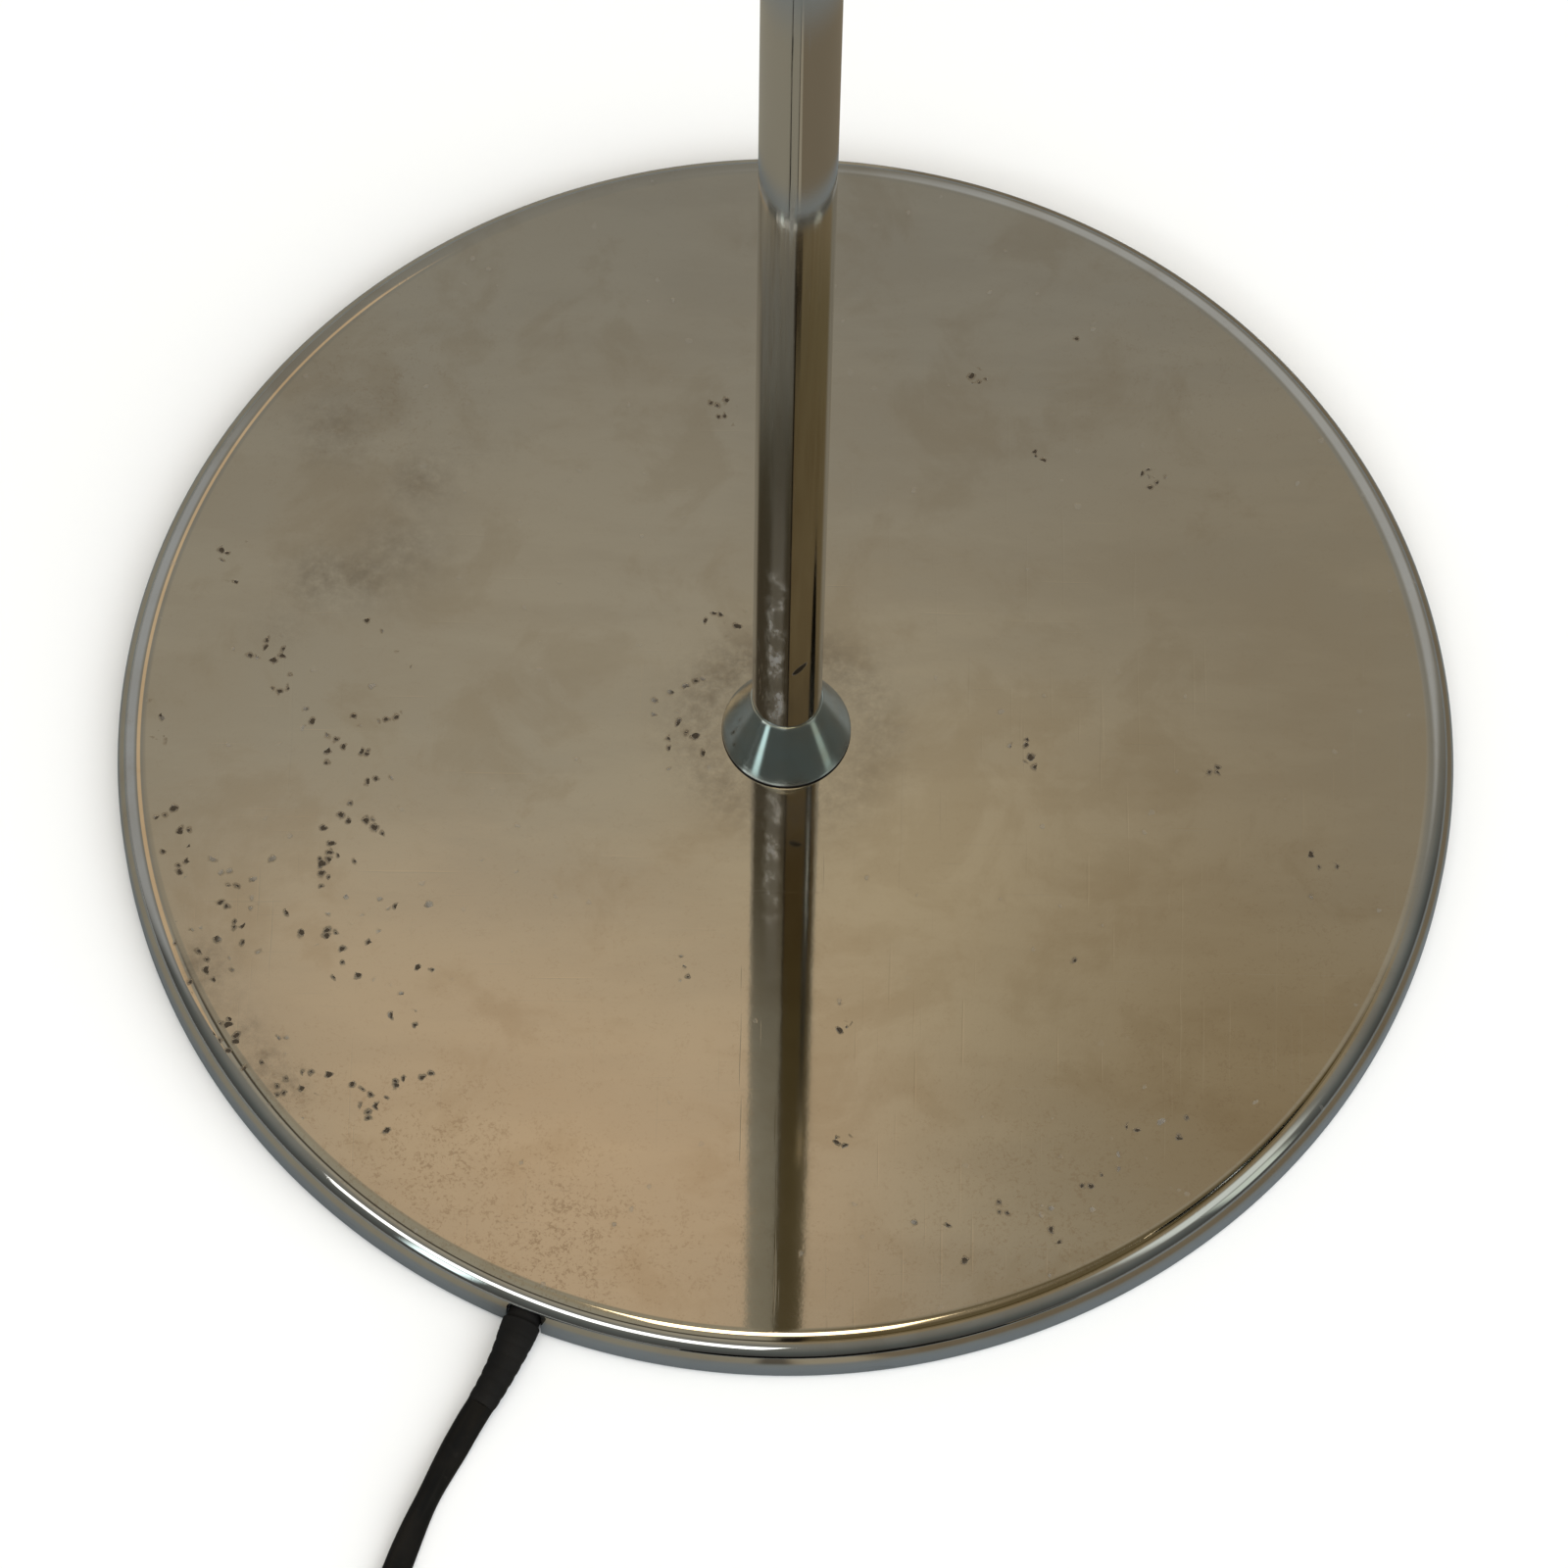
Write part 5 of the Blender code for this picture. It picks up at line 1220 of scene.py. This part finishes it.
def collarChrome(board):
    # turned on a lathe: fine rings up the cone; the plate is tinted cool green-blue, a painted reflection of
    # cool surroundings
    place = board.place()
    patches = board.noise(place, 120, 5, 0.6)
    rings = board.noise(board.spread(place, (30, 30, 2600)), 1, 3, 0.6)
    height = board.axis(place, 2)
    foot = height.step(16 * mm, 12.6 * mm) * patches.step(0.3, 0.7)
    seam = height.step(13.3 * mm, 13.1 * mm)
    # painted reflection: the cool green-blue tint of the plate
    colour = board.blend(patches.step(0.35, 0.75) * 0.7, tone(0.49, 0.57, 0.57), tone(0.50, 0.51, 0.46))
    colour = board.blend(foot * 0.5, colour, chrome["dirt"])
    colour = board.blend(seam, colour, tone(0.008, 0.007, 0.006))
    rough = 0.09 + patches * 0.09 + foot * 0.2
    return {"Base Color": colour, "Roughness": rough, "Metallic": 1 - seam * 0.95,
            "Normal": board.relief(rings + patches * 0.4, 0.03 * mm, 0.4)}


def mattPlastic(colour, shade, grain, roughness):
    # moulded plastic: a fine sparked grain, dust in the hollows and a little wear
    def build(board):
        place = board.place()
        cloud = board.noise(place, 60, 4, 0.6)
        sparks = board.noise(place, grain, 2, 0.6)
        rubbed = board.noise(place, 300, 4, 0.65).step(0.55, 0.8)
        mixed = board.blend(cloud.step(0.3, 0.8), colour, shade)
        rough = roughness + cloud * 0.15 - rubbed * 0.12
        return {"Base Color": mixed, "Roughness": rough, "Normal": board.relief(sparks, 0.06 * mm, 0.5)}
    return build


def flexJacket(board):
    # The map runs round and along the flex: faint lines drawn along it, dust, and dull and shiny stretches.
    lay = board.node("ShaderNodeUVMap", {"uv_map": "lay"})
    place = board.place()
    drawn = board.noise(board.spread(lay, (60, 30, 1)), 1, 2, 0.5)
    dust = board.noise(place, 420, 5, 0.7).step(0.56, 0.8)
    scuffed = board.noise(place, 55, 4, 0.6).step(0.45, 0.75)
    colour = board.blend(scuffed * 0.6, tone(0.0035, 0.0035, 0.0035), tone(0.011, 0.009, 0.007))
    colour = board.blend(dust * 0.25, colour, tone(0.055, 0.048, 0.040))
    rough = 0.46 + scuffed * 0.16 + dust * 0.1 - drawn * 0.06
    bump = board.relief(drawn * 0.6 + dust * 0.3, 0.05 * mm, 0.5)
    return {"Base Color": colour, "Roughness": rough, "Normal": bump}


def brushedMetal(colour, shade, roughness, stretch):
    # plated or turned metal: fine marks stretched one way over a cloudy tone
    def build(board):
        place = board.place()
        marks = board.noise(board.spread(place, stretch), 1, 4, 0.6)
        cloud = board.noise(place, 120, 4, 0.6)
        mixed = board.blend(cloud.step(0.35, 0.7), colour, shade)
        rough = roughness + marks * 0.14
        return {"Base Color": mixed, "Roughness": rough, "Normal": board.relief(marks, 0.01 * mm, 0.5)}
    return build


def castSkin(board):
    # rough black iron that shows brown where the paint has gone from its lumps
    place = board.place()
    grain = board.noise(place, 700, 5, 0.7)
    lumps = board.noise(place, 90, 4, 0.6)
    bare = lumps.step(0.62, 0.75)
    colour = board.blend(bare, tone(0.035, 0.035, 0.037), tone(0.12, 0.07, 0.045))
    bump = board.relief(grain + lumps * 2, 0.3 * mm, 0.8)
    rough = 0.62 + grain * 0.3
    return {"Base Color": colour, "Roughness": rough, "Metallic": 0.2 + bare * 0.3, "Normal": bump}


def feltNap(board):
    # two sets of fibres that cross at a slant, paler where they are thick and worn
    place = board.place()
    fibres = board.noise(board.spread(place, (1800, 500, 900), (0, 0, 0.6)), 1, 4, 0.7)
    cross = board.noise(board.spread(place, (500, 1900, 900), (0, 0, 0.2)), 1, 4, 0.7)
    worn = board.noise(place, 40, 4, 0.6)
    colour = board.blend(fibres * worn * 2, tone(0.012, 0.024, 0.017), tone(0.05, 0.075, 0.055))
    bump = board.relief(fibres + cross, 0.3 * mm, 0.9)
    return {"Base Color": colour, "Roughness": 0.85 + cross * 0.15, "Normal": bump}


def coreInsulation(board):
    # Two insulated cores twisted together: the colour changes along a screw line round the tube.
    place = board.place()
    x = board.axis(place, 0)
    z = board.axis(place, 2)
    turn = x * 900 + z * 380
    lay = turn.maths("SINE", turn)
    dust = board.noise(place, 600, 3, 0.6)
    colour = board.blend(lay.step(-0.15, 0.15), tone(0.20, 0.07, 0.025), tone(0.03, 0.09, 0.28))
    bump = board.relief(lay.size(), 0.4 * mm, 0.7)
    return {"Base Color": colour, "Roughness": 0.42 + dust * 0.2, "Normal": bump}


def glazed(board):
    # white glaze with fine crackle and faint brown stains
    place = board.place()
    crackle = board.noise(place, 350, 4, 0.6)
    stain = board.noise(place, 90, 4, 0.6).step(0.5, 0.8)
    colour = board.blend(stain * 0.5, tone(0.80, 0.79, 0.75), tone(0.62, 0.57, 0.48))
    bump = board.relief(crackle, 0.08 * mm, 0.4)
    return {"Base Color": colour, "Roughness": 0.18 + crackle * 0.15, "Normal": bump}


def opal(board):
    # milky glass, with a slow drift in its tone and specks of dust
    place = board.place()
    drift = board.noise(place, 45, 4, 0.6)
    dust = board.noise(place, 800, 4, 0.7).step(0.6, 0.85)
    colour = board.blend(drift.step(0.3, 0.7) * 0.3, tone(0.90, 0.89, 0.86), tone(0.84, 0.81, 0.74))
    colour = board.blend(dust * 0.25, colour, tone(0.55, 0.52, 0.46))
    rough = 0.14 + dust * 0.25 + drift * 0.06
    return {"Base Color": colour, "Roughness": rough, "Normal": board.relief(drift, 0.1 * mm, 0.3)}


def hookFabric(board):
    # tiny black loops over the rows of a weave
    place = board.place()
    loops = board.noise(place, 2400, 3, 0.7)
    rows = board.noise(board.spread(place, (200, 1500, 900)), 1, 2, 0.5)
    colour = board.blend(loops.step(0.35, 0.7), tone(0.006, 0.006, 0.006), tone(0.03, 0.03, 0.03))
    bump = board.relief(loops + rows, 0.2 * mm, 0.8)
    return {"Base Color": colour, "Roughness": 0.8 + rows * 0.15, "Normal": bump}


metal = {"Metallic": 1.0}
finishes = {
    "discChrome": finishOf("discChrome", {}, discChrome),
    "stemChrome": finishOf("stemChrome", {}, stemChrome),
    "collarChrome": finishOf("collarChrome", {}, collarChrome),
    "chrome": finishOf("chrome", {}, plainChrome),
    "cast_iron": finishOf("castIron", {}, castSkin),
    "zinc_steel": finishOf("zincSteel", metal, brushedMetal(
        tone(0.55, 0.55, 0.54), tone(0.46, 0.45, 0.42), 0.26, (900, 900, 160))),
    "brass": finishOf("turnedBrass", metal, brushedMetal(
        tone(0.74, 0.55, 0.25), tone(0.52, 0.36, 0.15), 0.20, (700, 700, 2600))),
    "felt": finishOf("felt", {"Sheen Weight": 0.3}, feltNap),
    "black_plastic": finishOf("blackPlastic", {"Specular IOR Level": 0.3}, mattPlastic(
        tone(0.010, 0.010, 0.010), tone(0.018, 0.017, 0.016), 2600, 0.38)),
    "nylon": finishOf("nylon", {}, mattPlastic(
        tone(0.66, 0.63, 0.55), tone(0.58, 0.54, 0.45), 1800, 0.42)),
    "cord_black": finishOf("flexJacket", {"Specular IOR Level": 0.16}, flexJacket),
    "lead": finishOf("twistedCores", {}, coreInsulation),
    "ceramic": finishOf("glazedCeramic", {"Coat Weight": 0.5}, glazed),
    "opal_glass": finishOf("opalGlass", {"Subsurface Weight": 0.25}, opal),
    "hook": finishOf("hookStrap", {}, hookFabric),
    "sleeve": finishOf("softSleeve", {"Specular IOR Level": 0.12}, mattPlastic(
        tone(0.006, 0.006, 0.006), tone(0.012, 0.011, 0.010), 2200, 0.5)),
}

# what each node that is still shown is made of
nodeFinish = {
    "cast_iron": ("base_weight",),
    "felt": ("base_pad",),
    "zinc_steel": (
        "cord_clamp", "cord_clamp_screw_1", "cord_clamp_screw_2", "base_washer", "base_lock_nut",
        "clamp_screw", "arc_retaining_ring", "shade_nut", "switch_screw_1", "switch_screw_2",
        "switch_spring",
    ),
    "brass": (
        "base_nipple", "stem_insert", "clamp_shoe", "swivel_nipple", "holder_nipple", "holder_contact",
        "bulb_cap",
    ),
    "nylon": ("slide_foot", "tilt_washer_front", "tilt_washer_back", "switch_contact_block"),
    "ceramic": ("holder_insert",),
    "cord_black": ("base_cord",),
    "lead": ("stem_lead", "slide_lead", "arc_lead"),
}


def dress():
    # gives each node that still shows its finish, and each new piece its own or that of its slot
    for slot, names in nodeFinish.items():
        for name in names:
            nodes[name].data.materials.clear()
            nodes[name].data.materials.append(finishes[slot])
    special = {
        reliefSleeve: "sleeve",
        discCover: "discChrome",
        stemTube: "stemChrome",
        stemCollar: "collarChrome",
        coilTie: "hook",
    }
    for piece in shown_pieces():
        if "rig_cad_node" not in piece:
            piece.data.materials.clear()
            piece.data.materials.append(finishes[special.get(piece, piece.get("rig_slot"))])


dress()
print("finishes given")


studio = {
    "floor": tone(0.88, 0.885, 0.89),
    "floorInMetal": tone(0.20, 0.222, 0.238),  # how dark the floor looks when the chrome mirrors it
    "floorOnLeft": tone(0.255, 0.240, 0.200),
    "floorOnRight": tone(0.175, 0.147, 0.108),
    # far off in the mirror: painted light on the left, painted shade on the right, and a painted bar of light
    "farFloorLeft": tone(0.36, 0.365, 0.36),
    "farFloorRight": tone(0.10, 0.098, 0.092),
    "lightOnFloor": tone(0.66, 0.65, 0.62),
    "backdrop": tone(1.0, 1.0, 1.0),
    "sun": 3.2,
    "sunColour": (0.97, 0.985, 1.0),
    "sunTurn": (38, 12, 24),  # degrees
    # the room's tones from straight down, 0, to straight up, 1
    "room": (
        (0.0, tone(0.24, 0.25, 0.26)),
        (0.49, tone(0.20, 0.215, 0.225)),
        (0.53, tone(0.075, 0.078, 0.078)),
        (0.66, tone(0.12, 0.135, 0.135)),
        (0.80, tone(0.22, 0.225, 0.215)),
        (0.90, tone(0.27, 0.265, 0.235)),
        (0.935, tone(0.30, 0.283, 0.242)),
        (0.955, tone(0.375, 0.335, 0.262)),
        (1.0, tone(0.36, 0.295, 0.19)),
    ),
    # the tones in front, by height up the room
    "frontLeft": (
        (0.28, tone(0.42, 0.39, 0.32)),
        (0.32, tone(0.27, 0.27, 0.26)),
        (0.39, tone(0.24, 0.24, 0.22)),
        (0.46, tone(0.075, 0.065, 0.040)),
        (0.57, tone(0.085, 0.07, 0.05)),
        (0.69, tone(0.09, 0.075, 0.045)),
        (0.82, tone(0.36, 0.34, 0.28)),
        (1.0, tone(0.38, 0.35, 0.27)),
    ),
    "frontRight": (
        (0.28, tone(0.32, 0.26, 0.17)),
        (0.34, tone(0.21, 0.175, 0.10)),
        (0.47, tone(0.20, 0.155, 0.085)),
        (0.58, tone(0.25, 0.20, 0.115)),
        (0.69, tone(0.07, 0.045, 0.015)),
        (0.82, tone(0.115, 0.09, 0.04)),
        (1.0, tone(0.15, 0.12, 0.065)),
    ),
    # round patches on the ceiling: middle, reach, strength, colour
    "glows": (
        ((-0.045, 0.455), 0.125, 0.65, tone(0.47, 0.42, 0.325)),
        ((0.022, 0.452), 0.075, 0.70, tone(0.57, 0.47, 0.31)),
        ((-0.028, 0.402), 0.078, 0.88, tone(0.70, 0.52, 0.34)),
        ((-0.066, 0.435), 0.050, 0.40, tone(0.70, 0.52, 0.34)),
        ((0.075, 0.425), 0.070, 0.85, tone(0.31, 0.235, 0.135)),
        ((0.085, 0.500), 0.080, 0.50, tone(0.32, 0.26, 0.17)),
    ),
    # panels: azimuth and elevation in degrees, half width, half height, soft edge, colour
    "panels": (
        (31, 38, 0.46, 0.080, 0.03, tone(2.6, 2.75, 2.9)),  # window, front left
        (43, 21, 0.035, 0.12, 0.07, tone(1.7, 2.15, 2.3)),  # a narrow pane below it
        (-64, 20, 0.040, 0.12, 0.09, tone(0.75, 0.86, 0.82)),  # another, right
        (-64, 42, 0.10, 0.10, 0.15, tone(0.80, 0.88, 0.88)),  # softer one, right
        (-148, 30, 0.30, 0.20, 0.25, tone(0.46, 0.47, 0.47)),  # rear right
        (118, 20, 0.30, 0.20, 0.25, tone(0.40, 0.42, 0.44)),  # left
        (128, 51, 0.42, 0.070, 0.05, tone(0.68, 0.52, 0.34)),  # warm ceiling, left
        (0, 89, 0.085, 0.085, 0.03, tone(5.5, 4.5, 2.9)),  # warm lamp overhead
    ),
}


def mirroredOnly(board, colour, mirrored):
    # one colour for what is seen directly, another for what is seen in a mirror
    glossy = board.node("ShaderNodeLightPath", output="Is Glossy Ray")
    return board.blend(glossy, colour, mirrored)


def makeFloor():
    # one wide square a tenth of a millimetre below the lamp
    mesh = bpy.data.meshes.new("floor")
    reach = 180
    corners = [(-reach, -reach, 0), (reach, -reach, 0), (reach, reach, 0), (-reach, reach, 0)]
    mesh.from_pydata(corners, [], [(0, 1, 2, 3)])
    floor = bpy.data.objects.new("floor", mesh)
    scene.collection.objects.link(floor)
    floor.location.z = -0.0001

    def build(board):
        # mirrored close to the base it is a cool grey, with a ring that is grey to the left and brown to the
        # right, crossed by a painted dark line and a painted pale stripe; a stride away it is painted light
        # on the left and painted shade on the right, with one painted bar of light
        place = board.place()
        x, y = [board.axis(place, n) for n in range(2)]
        away = board.node("ShaderNodeVectorMath", {"operation": "LENGTH"}, {0: place}, "Value")
        sides = board.blend(x.step(-0.004, 0.006), studio["floorOnLeft"], studio["floorOnRight"])
        sides = board.blend((x - 0.016).size().step(0.016, 0.006) * 0.6, sides, tone(0.40, 0.37, 0.30))
        sides = board.blend(x.size().step(0.006, 0.002), sides, tone(0.10, 0.09, 0.075))
        ring = away.step(0.160, 0.168) * away.step(0.225, 0.205)
        mirrored = board.blend(ring, studio["floorInMetal"], sides)
        far = board.blend(x.step(1.2, -1.4), studio["farFloorRight"], studio["farFloorLeft"])
        bar = (x + y * 0.3 + 1.2).size().step(0.40, 0.22)
        far = board.blend(bar * 0.9, far, studio["lightOnFloor"])
        mirrored = board.blend(away.step(0.7, 1.3), mirrored, far)
        return {"Base Color": mirroredOnly(board, studio["floor"], mirrored)}
    mesh.materials.append(finishOf("paleFloor", {"Roughness": 0.9, "Specular IOR Level": 0.1}, build))


def panel(board, direction, azimuth, elevation, halfWidth, halfHeight, soft):
    # A flat bright panel far away: the direction's sideways and upward slopes from the panel's middle are
    # compared with its half sizes. Azimuth is in degrees from the front (-Y) towards the left (-X).
    a, e = radians(azimuth), radians(elevation)
    middle = (-np.sin(a) * np.cos(e), -np.cos(a) * np.cos(e), np.sin(e))
    sideways = (-np.cos(a), np.sin(a), 0)
    upwards = tuple(np.cross(sideways, middle) * -1)

    def along(axis):
        return board.node(
            "ShaderNodeVectorMath", {"operation": "DOT_PRODUCT"}, {0: direction, 1: axis}, "Value")

    ahead = along(middle)
    across = (along(sideways) / ahead).size()
    rise = (along(upwards) / ahead).size()
    seen = across.step(halfWidth + soft, halfWidth) * rise.step(halfHeight + soft, halfHeight)
    return seen * ahead.step(0, 0.05)


def glow(board, place, middle, reach):
    # a soft round patch on a flat ceiling: 1 at its middle, 0 from its reach outwards
    offset = board.node("ShaderNodeVectorMath", {"operation": "SUBTRACT"}, {0: place, 1: (*middle, 0)})
    return board.node("ShaderNodeVectorMath", {"operation": "LENGTH"}, {0: offset}, "Value").step(reach, 0)


def makeWorld():
    # The room is a ramp of tones over the height of the direction. Glows, the front and the panels are
    # blended over it in turn, each by a mask that is 1 inside it and fades to 0 at its edge.
    world = bpy.data.worlds.new("studio")
    scene.world = world
    world.use_nodes = True
    board = Board(world.node_tree)
    direction = board.node("ShaderNodeTexCoord", output="Generated")
    x, y, z = [board.axis(direction, n) for n in range(3)]
    room = board.node("ShaderNodeValToRGB", {"stops": studio["room"]}, {"Fac": z * 0.5 + 0.5})
    low = y.step(0.15, 0.6) * z.step(-0.05, 0.02) * z.step(0.86, 0.78)
    room = board.blend(low * 0.85, room, tone(0.285, 0.272, 0.238))
    # the ceiling behind the lamp carries warm patches of light, strongest towards the left
    up = z.most(0.2)
    ceiling = board.node("ShaderNodeCombineXYZ", {}, {0: x / up, 1: y / up})
    drift = board.noise(ceiling, 9, 4, 0.55) * 0.5 + 0.75
    behind = y.step(0, 0.1)
    for middle, reach, strength, colour in studio["glows"]:
        room = board.blend(glow(board, ceiling, middle, reach) * drift * strength * behind, room, colour)
    # in front it is grey to the left and brown to the right, darker in the middle of its height, with a dark
    # slot high up and a narrow dark gap below it
    height = (z - 0.84) / 0.1
    left = board.node("ShaderNodeValToRGB", {"stops": studio["frontLeft"]}, {"Fac": height})
    right = board.node("ShaderNodeValToRGB", {"stops": studio["frontRight"]}, {"Fac": height})
    front = y.step(0.33, 0.20) * z.step(0.74, 0.84) * z.step(0.999, 0.97)
    room = board.blend(front, room, board.blend(x.step(-0.015, 0.030), left, right))
    slot = (x - 0.065).size().step(0.115, 0.070) * height.step(0.285, 0.305)
    slot = slot * height.step(0.40, 0.35)
    gap = (x - 0.022).size().step(0.028, 0.008) * height.step(0.30, 0.36)
    room = board.blend(front * y.step(-0.1, -0.3) * slot.most(gap), room, tone(0.02, 0.016, 0.013))
    for azimuth, elevation, halfWidth, halfHeight, soft, colour in studio["panels"]:
        lit = panel(board, direction, azimuth, elevation, halfWidth, halfHeight, soft)
        room = board.blend(lit, room, colour)
    direct = board.node("ShaderNodeLightPath", output="Is Camera Ray")
    seen = board.blend(direct, room, studio["backdrop"])
    background = world.node_tree.nodes["Background"]
    world.node_tree.links.new(seen.socket, background.inputs["Color"])


def makeSun():
    # soft daylight for the matt surfaces and the floor; the chrome mirrors the room instead
    light = bpy.data.lights.new("softSun", "SUN")
    light.energy = studio["sun"]
    light.color = studio["sunColour"]
    light.angle = radians(95)
    sun = bpy.data.objects.new("softSun", light)
    scene.collection.objects.link(sun)
    sun.rotation_euler = [radians(a) for a in studio["sunTurn"]]
    sun.visible_glossy = False


makeFloor()
makeWorld()
makeSun()
print("studio lit")
